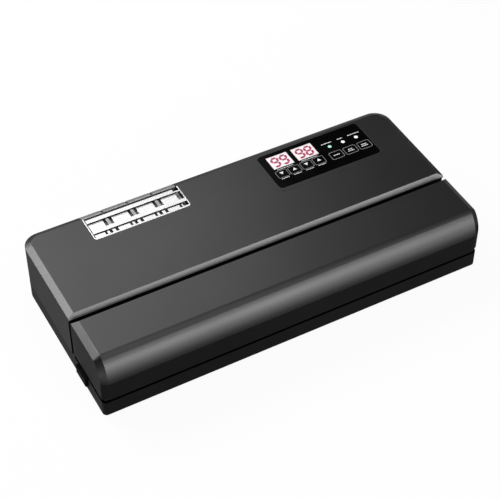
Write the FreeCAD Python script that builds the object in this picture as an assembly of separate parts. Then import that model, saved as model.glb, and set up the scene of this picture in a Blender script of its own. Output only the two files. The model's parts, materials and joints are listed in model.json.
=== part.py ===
import FreeCAD, Part
import math
import os

# Countertop vacuum sealer: a low base tray, a boxed rear housing with vent and controls, and a
# full-width front hood that swings up over the vacuum channel and the sealing bar.
# Millimetres, +Z up. The origin is on the table under the middle of the body, X runs along the
# sealing bar and -Y is the side where the bag goes in.

V = FreeCAD.Vector
UP = V(0, 0, 1)
ALONG_X = V(1, 0, 0)
ALONG_Y = V(0, 1, 0)
os.makedirs("parts", exist_ok=True)

# Overall form
LENGTH = 380.0
DEPTH = 174.0
HEIGHT = 66.0
WALL = 2.5
SEAT = 0.2            # gap round a fixed piece in its seat
GAP = 0.3             # gap between pieces that move past one another
RUN = 0.05            # radial clearance of a turning or sliding shaft
OVER = 1.0            # how far a cut runs past the face it opens
NEAR = 0.01           # tolerance when edges are picked by their place

# Base tray and feet
FOOT_H = 2.5
FOOT_R = 8.0
FOOT_BEVEL = 0.75
FOOT_PLUG_R = 2.5
FOOT_INSET_X = 40.0
FOOT_INSET_Y = 17.0
BASE_H = 16.0
BASE_SETBACK = 1.2
BASE_FRONT_R = 4.0
REAR_R = 16.0
LIP_H = 2.0
LIP_T = 1.2

# Bevelled edges of the rear housing
EDGE_RUN = 6.0
EDGE_DROP = 3.2
NOSE_OUT = 1.6        # how far the front lip of the rear housing stands over the groove
NOSE_RUN = 3.1
NOSE_DROP = 4.4
NOSE_EDGE = 0.7
BEVEL_SOFT = 0.4      # share of the wall that the inside of a bevel sits lower or further in

# Front hood
LID_DEPTH = 61.2
LID_GAP = 4.0
GROOVE_W = 4.6
LID_BROW = 11.4       # size of the sloped brow between the top and the front
LID_BROW_R = 8.0      # rounding above the brow
LID_FRONT_R = 30.0    # rounding below the brow
BROW_SHRINK = 2 - 2 ** 0.5
LID_BEVEL_RUN = 4.6
LID_BEVEL_DROP = 5.5
LID_END_DROP = 4.0
LID_END_SET = 3.6
LID_END_NIB = 0.8
LID_END_SOFT = 0.6    # the same share at the end faces of the hood
LID_CURTAIN_H = 32.0

# Hinge of the hood
HINGE_BACK = 8.3
HINGE_DROP = 10.5
PIN_R = 2.0
POST_R = 5.0
POST_W = 8.0
POST_INSET = 25.0
EAR_W = 4.0
NOTCH_UNDER_BEVEL = 0.2

# Seal deck with its vacuum channel
DECK_T = 2.5
BED_T = 1.0
CHANNEL_END = 42.0
CHANNEL_W = 16.0
CHANNEL_DEPTH = 10.5
CHANNEL_T = 1.5
CHANNEL_BACK = 32.5
GASKET_R = 4.0
GASKET_MARGIN = 2.0
GASKET_W = 6.0
GASKET_SEAT = 1.5
GASKET_PROUD = 1.9
GASKET_ROUND = 1.2

# Sealing bar
HEATER_END = 40.0
HEATER_W = 7.0
HEATER_BACK = 9.7
HEATER_DEPTH = 7.5
HEATER_PROUD = 0.4
STRIP_W = 3.0
STRIP_T = 0.15
TAPE_T = 0.15
TAPE_GAP = 0.05
TAPE_DROP = 3.0
TERMINAL_L = 6.0

# Hood liner
LINER_LIFT = 0.5
LINER_T = 2.5
LINER_RIM_H = 8.0
LINER_RIM_T = 2.0
LINER_GROOVE = 1.5
LINER_REAR_MARGIN = 2.0
LINER_CORNER_R = 8.0
PRESS_W = 6.0
PRESS_ROUND = 1.2
LID_BOSS_R = 3.8
LID_BOSS_OUT = 16.0
LID_BOSS_FRONT = 9.5
LID_BOSS_BACK = 37.0

# Latch hooks and release buttons
BUTTON_BACK = 44.0
BUTTON_W = 20.0
BUTTON_H = 9.5
BUTTON_LIFT = 2.5
BUTTON_PROUD = 2.6
BUTTON_ROUND = 1.2
BUTTON_PRESS = 1.5
BUTTON_LATCH = 1.8
HOOK_W = 3.0
HOOK_L = 7.0
HOOK_INSET = 12.0
HOOK_BEVEL = 1.2
HOOK_SET = 0.5        # hook in front of the middle of the button
HOOK_TIP = 6.5        # hook tip under the top of the deck
HOOK_SWING = 14.5     # forward swing of the tip before it leaves the deck
SLIDE_H = 6.0
SLIDE_L = 14.0
NOSE_L = 5.0
SPRING_L = 11.4
SPRING_R = 2.2
SPRING_WIRE = 0.35
SPRING_TURNS = 6
SPRING_POST_T = 4.0
RAIL_T = 1.5

# Control panel, measured from the middle of the panel
PANEL_L = 109.0
PANEL_W = 52.0
PANEL_END = 35.0
PANEL_REAR = 9.0
PANEL_T = 1.5
PANEL_PROUD = 0.2
PANEL_R = 4.0
WINDOW_MARGIN = 0.6
DISPLAY_L = 22.0
DISPLAY_W = 17.8
DISPLAY_PITCH = 26.5
DISPLAY_AT = (-22.7, 13.3)
DISPLAY_SINK = 0.8
LENS_R = 1.8
LENS_SINK = 1.2       # middle of the dome under the panel
LENS_PITCH = 14.6
LENS_AT = (29.8, 7.9)
ARROW_L = 11.4
ARROW_W = 9.6
ARROW_PITCH = 13.15
ARROW_AT = (-23.5, -4.4)
FUNCTION_L = 13.0
FUNCTION_W = 10.0
FUNCTION_PITCH = 15.4
FUNCTION_AT = (30.3, -5.6)
KEY_SIDE = 0.25
KEY_PROUD = 0.3
KEY_ROUND = 1.0
KEY_EDGE = 0.27
KEY_FLANGE = 0.65
KEY_FLANGE_T = 1.0
KEY_TRAVEL = 0.4
KEY_STEM_R = 1.8
SWITCH_L = 6.0
SWITCH_H = 3.8
SWITCH_NUB_R = 1.6
SWITCH_NUB_H = 0.5
BOARD_T = 1.6
BOARD_DROP = 13.5
BOARD_MARGIN = 3.0

# Louvred vent
VENT_L = 96.0
VENT_END = 58.0
VENT_W = 36.5
VENT_R = 3.0
VENT_DEPTH = 4.5
VENT_FRAME = 1.0
VENT_REAR_BAR = 7.0
VENT_DIVIDERS = 3
VENT_CELL_SHARE = 0.264
VENT_ROW_SHARES = (0.25, 0.52, 0.23)
VENT_SLOT_SHARES = (0.8, 0.65, 0.0)   # length of the slots in each row's louvre, front row first
VENT_SLIT = 1.7       # air gap behind each louvre
VENT_SIDE_GAP = 0.9
VENT_RIB_T = 1.4
SLAT_T = 1.2
SLAT_SINK = 0.3
SLAT_FALL = 0.2
TONGUE_W = 3.0
RELIEF_W = 2.8        # slot on each side of a tongue
VENT_END_SLOT = 5.5
VENT_END_SHARE = 0.7
VENT_NOTCH_W = 1.6
VENT_NOTCH = 0.6      # depth of the notches and the line in the rear bar
VENT_LINE = (0.42, 0.54)

# Vacuum pump
MOTOR_R = 17.0
MOTOR_L = 56.0
MOTOR_HUB_R = 5.0
MOTOR_HUB_L = 3.0
PUMP_BACK = 59.2
PUMP_LIFT = 22.0
PUMP_JOIN_X = -80.0
HEAD_SIDE = 36.0
HEAD_L = 36.0
HEAD_SLOTS = 3
HEAD_SLOT_W = 2.0
CRANK_R = 13.0
CRANK_L = 18.0
SHAFT_R = 1.5
SHAFT_TAIL = 5.0
CAM_R = 6.0
CAM_OFFSET = 2.0
CAM_T = 9.0
STRAP_T = 2.4
STRAP_W = 12.0
FLANGE_T = 2.0
FLANGE_REACH = 9.0
BOSS_R = 4.0
BOSS_H = 4.0

# Hoses and nozzles
NOZZLE_R = 2.0
NOZZLE_BORE = 1.3
NOZZLE_L = 9.0
NOZZLE_FLANGE_R = 3.1
NOZZLE_FLANGE_T = 1.0
HOSE_T = 1.1
HOSE_BEND = 14.0
NOZZLE_INTO_HEAD = 12.0

# Vent valve
VALVE_CLEAR = 2.5
VALVE_L = 26.0
VALVE_W = 16.0
VALVE_H = 10.0
VALVE_BACK = 15.2
PLUNGER_R = 3.0
PLUNGER_OUT = 6.0
PLUNGER_BORE = 16.0
PLUNGER_TRAVEL = 2.0
PLUNGER_HEAD_R = 4.5
PLUNGER_HEAD_T = 1.5

# Transformer
CORE_L = 50.0
CORE_W = 22.0
CORE_H = 38.0
CORE_LEG = 16.0
CORE_YOKE = 8.0
COIL_OVERHANG = 7.0
COIL_R = 4.2
CORE_X = 8.0
CORE_REAR = 39.0

# Power board
POWER_L = 90.0
POWER_W = 60.0
POWER_END = 37.0
POWER_BACK = 41.2
POWER_INSET = 5.0
POWER_LIFT = 6.0
STANDOFF_R = 3.2
CAPACITOR_R = 6.0
CAPACITOR_H = 20.0
CAPACITOR_ROUND = 1.0
CAPACITORS_AT = [(-10.8, 9.0), (5.4, 9.0)]
RELAY_L = 15.0
RELAY_W = 19.0
RELAY_H = 15.0
RELAY_AT = (27.0, 9.0)
SINK_L = 26.0
SINK_W = 10.0
SINK_H = 20.0
SINK_T = 2.0
SINK_FINS = 7
SINK_FIN_T = 1.0
SINK_AT = (-18.0, -15.0)
TERMINALS_L = 30.0
TERMINALS_W = 8.0
TERMINALS_H = 9.0
TERMINALS_AT = (18.0, -18.0)

# Appliance inlet
INLET_END = 55.0
INLET_LIFT = 27.0
INLET_L = 22.0
INLET_H = 14.0
INLET_DEEP = 21.0
INLET_RIM = 3.0
INLET_RIM_T = 2.2
LOBE_R = 4.2
LOBE_PITCH = 8.6
WAIST_H = 6.4
INLET_SOCKET = 12.5
CONTACT_R = 1.2
CONTACT_ROUND = 0.7
CONTACT_SINK = 2.5
CONTACT_TAIL = 5.0

# Screws
SCREW_R = 1.5
SCREW_HEAD_R = 2.9
SCREW_HEAD_H = 2.0
SCREW_HEAD_ROUND = 0.8
SCREW_L = 8.0
SHORT_SCREW_L = 5.0
PILOT = 0.05          # gap round a screw in its hole
LONG_SCREW_L = 20.0
HEAD_RECESS = 0.4
BLIND_SKIN = 0.8      # floor left under a blind screw hole
COVER_BOSS_R = 4.0
COVER_BOSS_COLLAR = 1.0
COVER_BOSS_INSET_X = 18.0
COVER_BOSS_FRONT = 21.0
COVER_BOSS_REAR = 17.0
DECK_BOSS_OUT = 12.0
DECK_BOSS_FRONT = 11.0
DECK_BOSS_REAR = 6.0
PILLAR_PITCH = 90.0
FLOOR_SLOT_W = 2.5
FLOOR_SLOT_L = 16.0
FLOOR_SLOT_PITCH = 7.0
FLOOR_SLOTS = 7
ROUND_END = 0.99      # share of half a slot's width that its rounded end takes

# Planes and axes that several pieces share
X_END = LENGTH / 2
Y_FRONT = -DEPTH / 2
Y_REAR = DEPTH / 2
CHANNEL_L = LENGTH - 2 * CHANNEL_END
HEATER_L = LENGTH - 2 * HEATER_END
Z_FLOOR = FOOT_H + WALL
Z_RIM = FOOT_H + BASE_H
Z_LID = Z_RIM + LID_GAP
Z_TOP = HEIGHT
BASE_FRONT = Y_FRONT + BASE_SETBACK
LID_REAR = Y_FRONT + LID_DEPTH
COVER_FRONT = LID_REAR + GROOVE_W
HINGE_Y = LID_REAR - HINGE_BACK
HINGE_Z = Z_TOP - HINGE_DROP
POST_X = X_END - POST_INSET
DECK_UNDER = Z_RIM - DECK_T
BED_UNDER = DECK_UNDER - BED_T
CHANNEL_Y = Y_FRONT + CHANNEL_BACK
CHANNEL_FLOOR = Z_RIM - CHANNEL_DEPTH
HEATER_Y = Y_FRONT + HEATER_BACK
HEATER_TOP = Z_RIM + HEATER_PROUD
TAPE_TOP = HEATER_TOP + STRIP_T + TAPE_GAP + TAPE_T
GASKET_TOP = Z_RIM + GASKET_PROUD
LINER_Z = Z_LID + LINER_LIFT
LINER_TOP = LINER_Z + LINER_T
HOOK_X = X_END - HOOK_INSET
BUTTON_Y = Y_FRONT + BUTTON_BACK
HOOK_FRONT = BUTTON_Y - HOOK_L / 2 - HOOK_SET
PANEL_X = X_END - PANEL_END - PANEL_L / 2
PANEL_Y = Y_REAR - PANEL_REAR - PANEL_W / 2
PANEL_TOP = Z_TOP + PANEL_PROUD
PANEL_UNDER = PANEL_TOP - PANEL_T
BOARD_TOP = Z_TOP - BOARD_DROP
VENT_X = -X_END + VENT_END + VENT_L / 2
PUMP_Y = COVER_FRONT + PUMP_BACK
PUMP_Z = Z_FLOOR + PUMP_LIFT
NOZZLE_Z = CHANNEL_FLOOR + NOZZLE_FLANGE_R + SEAT / 2
SUCTION_X = PUMP_JOIN_X + HEAD_L - NOZZLE_INTO_HEAD
CHANNEL_BACK_WALL = CHANNEL_Y + CHANNEL_W / 2 + CHANNEL_T
CORE_Y = Y_REAR - CORE_REAR
POWER_X = X_END - POWER_END - POWER_L / 2
POWER_Y = COVER_FRONT + POWER_BACK
VALVE_X = POWER_X - POWER_L / 2 - VALVE_CLEAR - PLUNGER_HEAD_T - PLUNGER_OUT - VALVE_L / 2
VALVE_Y = COVER_FRONT + VALVE_BACK
INLET_X = X_END - INLET_END
INLET_Z = Z_FLOOR + INLET_LIFT
BOSS_TOP = Z_FLOOR + BOSS_H


def box(x0, x1, y0, y1, z0, z1):
    return Part.makeBox(x1 - x0, y1 - y0, z1 - z0, V(x0, y0, z0))


def rod(radius, start, direction, length):
    return Part.makeCylinder(radius, length, start, direction)


def post(radius, x, y, z0, z1):
    return rod(radius, V(x, y, z0), UP, z1 - z0)


def mirrored(shape):
    return shape.mirror(V(0, 0, 0), ALONG_X)


def both_sides(shape):
    return [shape, mirrored(shape)]


def joined(shapes):
    return shapes[0].multiFuse(shapes[1:]).removeSplitter()


def rounded_loop(points, radii):
    """Closed wire through the points in turn, each corner rounded by its own radius, 0 for sharp."""
    corners = []
    count = len(points)
    for i in range(count):
        corner = points[i]
        radius = radii[i]
        if radius <= 0:
            corners.append((corner, None, corner))
            continue
        before = (points[i - 1] - corner).normalize()
        after = (points[(i + 1) % count] - corner).normalize()
        half = before.getAngle(after) / 2
        inward = (before + after).normalize()
        middle = corner + inward * (radius / math.sin(half) - radius)
        reach = radius / math.tan(half)
        corners.append((corner + before * reach, middle, corner + after * reach))
    edges = []
    for i in range(count):
        start, middle, stop = corners[i]
        if middle is not None:
            edges.append(Part.Arc(start, middle, stop).toShape())
        following = corners[(i + 1) % count][0]
        if stop.distanceToPoint(following) > 1e-6:
            edges.append(Part.makeLine(stop, following))
    return Part.Wire(edges)


def plan_wire(x0, x1, y0, y1, z, r_front, r_rear):
    points = [V(x0, y0, z), V(x1, y0, z), V(x1, y1, z), V(x0, y1, z)]
    return rounded_loop(points, [r_front, r_front, r_rear, r_rear])


def slab(x0, x1, y0, y1, z0, z1, r_front, r_rear):
    """Upright block with rounded corners in plan."""
    face = Part.Face(plan_wire(x0, x1, y0, y1, z0, r_front, r_rear))
    return face.extrude(V(0, 0, z1 - z0))


def profile_along_x(points, x0, x1):
    """Prism along X from a list of (y, z) corners."""
    corners = [V(x0, y, z) for y, z in points]
    face = Part.Face(Part.makePolygon(corners + corners[:1]))
    return face.extrude(V(x1 - x0, 0, 0))


def screw(x, y, z, length, side):
    """Pan head screw whose head sits at z; side -1 drives it down, +1 drives it up."""
    head = rod(SCREW_HEAD_R, V(x, y, z), V(0, 0, -side), SCREW_HEAD_H)
    crown = z - side * SCREW_HEAD_H
    rim = [e for e in head.Edges if max(abs(e.BoundBox.ZMin - crown), abs(e.BoundBox.ZMax - crown)) < NEAR]
    head = head.makeFillet(SCREW_HEAD_ROUND, rim)
    shank = rod(SCREW_R, V(x, y, z), V(0, 0, side), length)
    return head.fuse(shank).removeSplitter()


# Places of the screws, bosses and feet

def foot_places():
    x = X_END - FOOT_INSET_X
    return [(sx * x, y) for sx in (-1, 1) for y in (Y_FRONT + FOOT_INSET_Y, Y_REAR - FOOT_INSET_Y)]


def cover_boss_places():
    x = X_END - COVER_BOSS_INSET_X
    ys = (COVER_FRONT + COVER_BOSS_FRONT, Y_REAR - COVER_BOSS_REAR)
    return [(sx * x, y) for sx in (-1, 1) for y in ys]


def deck_boss_places():
    front = (HEATER_L / 2 + TERMINAL_L + DECK_BOSS_OUT, Y_FRONT + DECK_BOSS_FRONT)
    rear = (POST_X - POST_W / 2 - EAR_W - 2 * SCREW_HEAD_R, COVER_FRONT - DECK_BOSS_REAR)
    return [(sx * x, y) for sx in (-1, 1) for x, y in (front, rear)]


def strap_boss_places():
    x = PUMP_JOIN_X - MOTOR_L / 2
    reach = MOTOR_R + STRAP_T + FLANGE_REACH / 2
    return [(x, PUMP_Y - reach), (x, PUMP_Y + reach)]


def core_boss_places():
    reach = CORE_L / 2 + FLANGE_REACH / 2
    return [(CORE_X - reach, CORE_Y), (CORE_X + reach, CORE_Y)]


def power_boss_places():
    dx = POWER_L / 2 - POWER_INSET
    dy = POWER_W / 2 - POWER_INSET
    return [(POWER_X + sx * dx, POWER_Y + sy * dy) for sx in (-1, 1) for sy in (-1, 1)]


def display_boss_places():
    dx = PANEL_L / 2
    front = PANEL_Y - PANEL_W / 2
    rear = PANEL_Y + PANEL_W / 2 + BOARD_MARGIN
    return [(PANEL_X + sx * dx, y) for sx in (-1, 1) for y in (front, rear)]


def lid_boss_places():
    x = HEATER_L / 2 + LID_BOSS_OUT
    ys = (Y_FRONT + LID_BOSS_FRONT, Y_FRONT + LID_BOSS_BACK)
    return [(sx * x, y) for sx in (-1, 1) for y in ys]


# Places on the control panel

def row_places(at, pitch, count):
    first = PANEL_X + at[0] - pitch * (count - 1) / 2
    return [(first + i * pitch, PANEL_Y + at[1]) for i in range(count)]


def display_places():
    return row_places(DISPLAY_AT, DISPLAY_PITCH, 2)


def lens_places():
    return row_places(LENS_AT, LENS_PITCH, 3)


def key_places():
    """Name, centre and size of each key."""
    arrow_names = ["key_left_down", "key_left_up", "key_right_down", "key_right_up"]
    function_names = ["key_vacuum", "key_seal", "key_stop"]
    arrows = row_places(ARROW_AT, ARROW_PITCH, len(arrow_names))
    functions = row_places(FUNCTION_AT, FUNCTION_PITCH, len(function_names))
    keys = [(name, x, y, ARROW_L, ARROW_W) for name, (x, y) in zip(arrow_names, arrows)]
    keys += [(name, x, y, FUNCTION_L, FUNCTION_W) for name, (x, y) in zip(function_names, functions)]
    return keys


def panel_items():
    """Plan boxes of everything that stands in the window under the panel."""
    items = []
    for x, y in display_places():
        items.append((x - DISPLAY_L / 2, x + DISPLAY_L / 2, y - DISPLAY_W / 2, y + DISPLAY_W / 2))
    for name, x, y, length, width in key_places():
        dx = length / 2 + KEY_FLANGE
        dy = width / 2 + KEY_FLANGE
        items.append((x - dx, x + dx, y - dy, y + dy))
    return items


# Base

def base_housing():
    outer = slab(-X_END, X_END, BASE_FRONT, Y_REAR, FOOT_H, Z_RIM, BASE_FRONT_R, REAR_R)
    x = X_END - WALL
    inner = slab(-x, x, BASE_FRONT + WALL, Y_REAR - WALL, Z_FLOOR, Z_RIM + LIP_H,
                 BASE_FRONT_R - WALL, REAR_R - WALL)
    added = [outer.cut(inner)]
    added.append(cover_lip())
    for px, py in cover_boss_places():
        added.append(post(COVER_BOSS_R + COVER_BOSS_COLLAR, px, py, FOOT_H, Z_RIM))
    for px, py in deck_boss_places():
        added.append(post(BOSS_R, px, py, FOOT_H, DECK_UNDER))
    for px, py in strap_boss_places() + core_boss_places():
        added.append(post(BOSS_R, px, py, FOOT_H, BOSS_TOP))
    for px, py in power_boss_places():
        added.append(post(STANDOFF_R, px, py, FOOT_H, Z_FLOOR + POWER_LIFT))
    for px in (-PILLAR_PITCH, 0, PILLAR_PITCH):
        added.append(post(BOSS_R, px, COVER_FRONT, FOOT_H, DECK_UNDER))
    for guide in latch_guides():
        added += both_sides(guide)
    added.append(valve_cradle())
    body = joined(added)
    holes = [post(FOOT_PLUG_R + PILOT, px, py, 0, Z_FLOOR + OVER) for px, py in foot_places()]
    for px, py in cover_boss_places():
        holes.append(post(SCREW_R + SEAT, px, py, 0, Z_RIM + OVER))
        holes.append(post(SCREW_HEAD_R + SEAT, px, py, 0, FOOT_H + HEAD_RECESS + SCREW_HEAD_H))
    tops = [(p, DECK_UNDER) for p in deck_boss_places()]
    tops += [(p, BOSS_TOP) for p in strap_boss_places() + core_boss_places()]
    tops += [(p, Z_FLOOR + POWER_LIFT) for p in power_boss_places()]
    for (px, py), top in tops:
        holes.append(post(SCREW_R + PILOT, px, py, FOOT_H + BLIND_SKIN, top + OVER))
    for px in (PUMP_JOIN_X - MOTOR_L / 2, POWER_X):
        py = PUMP_Y if px < 0 else POWER_Y
        for i in range(FLOOR_SLOTS):
            sx = px + (i - (FLOOR_SLOTS - 1) / 2) * FLOOR_SLOT_PITCH
            half = FLOOR_SLOT_W / 2
            holes.append(slab(sx - half, sx + half, py - FLOOR_SLOT_L / 2, py + FLOOR_SLOT_L / 2,
                              0, Z_FLOOR + NEAR, half * ROUND_END, half * ROUND_END))
    half = BUTTON_W / 2 + GAP
    z0 = Z_FLOOR + BUTTON_LIFT
    window = box(X_END - WALL - OVER, X_END + OVER, BUTTON_Y - half, BUTTON_Y + half,
                 z0 - GAP, z0 + BUTTON_H + GAP)
    holes += both_sides(window)
    return body.cut(Part.makeCompound(holes))


def cover_lip():
    """Low inner lip on the rim that the rear cover slips over."""
    y0 = COVER_FRONT + WALL + SEAT

    def ring(outside, z0, z1):
        inside = WALL + SEAT + LIP_T
        big = slab(-X_END + outside, X_END - outside, y0, Y_REAR - outside, z0, z1, 0, REAR_R - outside)
        small = slab(-X_END + inside, X_END - inside, y0 - OVER, Y_REAR - inside, z0, z1,
                     0, REAR_R - inside)
        return big.cut(small)

    root = ring(WALL / 2, Z_RIM - 2 * LIP_H, Z_RIM)
    return root.fuse(ring(WALL + SEAT, Z_RIM - 2 * LIP_H, Z_RIM + LIP_H))


def latch_guides():
    """Floor rails beside the latch slide and the post behind its spring, right-hand side."""
    slide_in = slide_inner_x()
    rail_x0 = slide_in + BUTTON_PRESS
    rail_x1 = slide_in + SLIDE_L - 3 * BUTTON_PRESS
    half = BUTTON_W / 2
    top = Z_FLOOR + SLIDE_H / 2
    front = box(rail_x0, rail_x1, BUTTON_Y - half - GAP - RAIL_T, BUTTON_Y - half - GAP, FOOT_H, top)
    rear = box(rail_x0, rail_x1, BUTTON_Y + half + GAP, BUTTON_Y + half + GAP + RAIL_T, FOOT_H, top)
    seat_x = slide_in - SPRING_L
    reach = SPRING_R + 3 * SPRING_WIRE
    stop = box(seat_x - SPRING_POST_T, seat_x, BUTTON_Y - reach, BUTTON_Y + reach,
               FOOT_H, Z_FLOOR + SLIDE_H)
    return [front, rear, stop]


def valve_cradle():
    half = VALVE_L / 2
    return box(VALVE_X - half, VALVE_X + half, VALVE_Y, VALVE_Y + VALVE_W, FOOT_H, valve_under())


def valve_under():
    return NOZZLE_Z - VALVE_H / 2


def rubber_feet():
    feet = []
    for x, y in foot_places():
        pad = post(FOOT_R, x, y, 0, FOOT_H)
        rim = [e for e in pad.Edges if e.BoundBox.ZMax < FOOT_H / 2]
        pad = pad.makeChamfer(FOOT_BEVEL, rim)
        feet.append(pad.fuse(post(FOOT_PLUG_R, x, y, 0, Z_FLOOR)).removeSplitter())
    return Part.makeCompound(feet)


# Rear cover

def cover_wire(z, inset, run, front):
    side = inset + run
    x = X_END - side
    return plan_wire(-x, x, front, Y_REAR - side, z, 0, REAR_R - side)


def cover_form(inset, z0, front):
    """Closed form of the rear housing with an upright front, drawn in by inset at its ends and rear."""
    knee = Z_TOP - EDGE_DROP - inset * BEVEL_SOFT
    wires = [cover_wire(z0, inset, 0, front), cover_wire(knee, inset, 0, front),
             cover_wire(Z_TOP - inset, inset, EDGE_RUN, front)]
    return Part.makeLoft(wires, True, True)


def cover_outside():
    """Outer form: its front has a bevelled lip over the groove, cut back below to let the hood swing."""
    lip = COVER_FRONT - NOSE_OUT
    under = Z_TOP - NOSE_DROP - NOSE_EDGE
    block = cover_form(0, Z_RIM, lip)
    past = OVER * NOSE_RUN / NOSE_DROP
    profile = [(lip + NOSE_RUN + past, Z_TOP + OVER), (lip, Z_TOP - NOSE_DROP), (lip, under),
               (COVER_FRONT, under - NOSE_OUT), (COVER_FRONT, Z_RIM - OVER),
               (lip - OVER, Z_RIM - OVER), (lip - OVER, Z_TOP + OVER)]
    return block.cut(profile_along_x(profile, -LENGTH, LENGTH))


def rear_cover():
    outer = cover_outside()
    shell = outer.cut(cover_form(WALL, Z_RIM - OVER, COVER_FRONT + WALL))
    added = [shell]
    for x, y in cover_boss_places():
        added.append(post(COVER_BOSS_R, x, y, Z_RIM, Z_TOP - WALL / 2))
    for x, y in display_boss_places():
        added.append(post(STANDOFF_R, x, y, BOARD_TOP, Z_TOP - WALL).common(outer))
    body = joined(added)
    holes = [panel_recess(), panel_window(), vent_opening(0)]
    for x, y in cover_boss_places():
        holes.append(post(SCREW_R + PILOT, x, y, Z_RIM - OVER, Z_RIM + LONG_SCREW_L))
    for x, y in display_boss_places():
        holes.append(post(SCREW_R + PILOT, x, y, BOARD_TOP - OVER, BOARD_TOP + SCREW_L))
    half_l = INLET_L / 2 + SEAT
    half_h = INLET_H / 2 + SEAT
    holes.append(box(INLET_X - half_l, INLET_X + half_l, Y_REAR - 2 * WALL, Y_REAR + OVER,
                     INLET_Z - half_h, INLET_Z + half_h))
    return body.cut(Part.makeCompound(holes))


def panel_recess():
    dx = PANEL_L / 2 + SEAT / 2
    dy = PANEL_W / 2 + SEAT / 2
    return slab(PANEL_X - dx, PANEL_X + dx, PANEL_Y - dy, PANEL_Y + dy, PANEL_UNDER, Z_TOP + OVER,
                PANEL_R, PANEL_R)


def panel_window():
    items = panel_items()
    x0 = min(item[0] for item in items) - WINDOW_MARGIN
    x1 = max(item[1] for item in items) + WINDOW_MARGIN
    y0 = min(item[2] for item in items) - WINDOW_MARGIN
    y1 = max(item[3] for item in items) + WINDOW_MARGIN
    return box(x0, x1, y0, y1, Z_TOP - 2 * WALL, Z_TOP)


def vent_opening(inset):
    """Block of the vent opening in the top and over the rear bevel, drawn in by inset."""
    half = VENT_L / 2 - inset
    y0 = Y_REAR - VENT_W + inset
    return slab(VENT_X - half, VENT_X + half, y0, Y_REAR + OVER, Z_TOP - VENT_DEPTH + inset, Z_TOP + OVER,
                VENT_R - inset, 0)


def vent_grille():
    """Thin frame flush with the cover, ribs underneath, and louvres with slotted tongues over the ribs."""
    blank = vent_opening(SEAT).common(cover_outside())
    half = VENT_L / 2 - SEAT - VENT_FRAME
    x0 = VENT_X - half
    x1 = VENT_X + half
    y0 = Y_REAR - VENT_W + SEAT + VENT_FRAME
    y1 = Y_REAR - VENT_REAR_BAR
    z0 = Z_TOP - VENT_DEPTH + SEAT
    cell = (x1 - x0) * VENT_CELL_SHARE
    dividers = [x1 - cell * (i + 1) for i in range(VENT_DIVIDERS)]
    field = slab(x0, x1, y0, y1, z0 - OVER, Z_TOP + OVER, VENT_R - VENT_FRAME, 0)
    marks = [bevel_cut(0, 1, x - VENT_NOTCH_W / 2, x + VENT_NOTCH_W / 2) for x in dividers]
    marks.append(bevel_cut(*VENT_LINE, x0, x1))
    added = [blank.cut(field).cut(joined(marks))]
    rib_top = Z_TOP - SLAT_SINK - SLAT_FALL - SLAT_T / 2
    for x in dividers:
        added.append(box(x - VENT_RIB_T / 2, x + VENT_RIB_T / 2, y0 - SEAT, y1 + SEAT, z0, rib_top))
    front = y0
    for share, slot in zip(VENT_ROW_SHARES, VENT_SLOT_SHARES):
        depth = (y1 - y0) * share
        added.append(vent_slat(x0, x1, front, depth - VENT_SLIT, dividers, slot))
        front += depth
    return joined(added)


def bevel_cut(start, end, x0, x1):
    """Shallow cut in the rear bevel, from the share start to the share end of its run."""
    def at(share, lift):
        return (Y_REAR - EDGE_RUN * (1 - share), Z_TOP - EDGE_DROP * share + lift)

    reach = end if end < 1 else 1 + OVER / EDGE_RUN
    corners = [at(start, -VENT_NOTCH), at(reach, -VENT_NOTCH), at(reach, OVER), at(start, OVER)]
    return profile_along_x(corners, x0, x1)


def vent_slat(x0, x1, front, depth, dividers, slot):
    """One louvre, slotted beside each tongue and cut back at its right end."""
    high = Z_TOP - SLAT_SINK
    low = high - SLAT_FALL
    rear = front + depth
    root = front - SEAT
    section = [(root, high - SLAT_T), (rear, low - SLAT_T), (rear, low), (root, high)]
    slat = profile_along_x(section, x0 + VENT_SIDE_GAP, x1 + SEAT)
    spans = [(x1 - VENT_END_SLOT, x1, VENT_END_SHARE)]
    if slot > 0:
        for x in dividers:
            spans.append((x - TONGUE_W / 2 - RELIEF_W, x - TONGUE_W / 2, slot))
            spans.append((x + TONGUE_W / 2, x + TONGUE_W / 2 + RELIEF_W, slot))
    slots = []
    for a, b, share in spans:
        slots.append(box(a, b, rear - depth * share, rear + OVER, low - 2 * SLAT_T, Z_TOP + OVER))
    return slat.cut(Part.makeCompound(slots))


# Control panel

def control_panel():
    dx = PANEL_L / 2
    dy = PANEL_W / 2
    plate = slab(PANEL_X - dx, PANEL_X + dx, PANEL_Y - dy, PANEL_Y + dy, PANEL_UNDER, PANEL_TOP,
                 PANEL_R, PANEL_R)
    z0 = PANEL_UNDER - OVER
    z1 = PANEL_TOP + OVER
    holes = []
    for x, y in display_places():
        hx = DISPLAY_L / 2 + SEAT
        hy = DISPLAY_W / 2 + SEAT
        holes.append(box(x - hx, x + hx, y - hy, y + hy, z0, z1))
    for x, y in lens_places():
        holes.append(post(LENS_R + SEAT / 2, x, y, z0, z1))
    for name, x, y, length, width in key_places():
        hx = length / 2 + KEY_SIDE
        hy = width / 2 + KEY_SIDE
        r = KEY_ROUND + KEY_SIDE
        holes.append(slab(x - hx, x + hx, y - hy, y + hy, z0, z1, r, r))
    return plate.cut(Part.makeCompound(holes))


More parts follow.
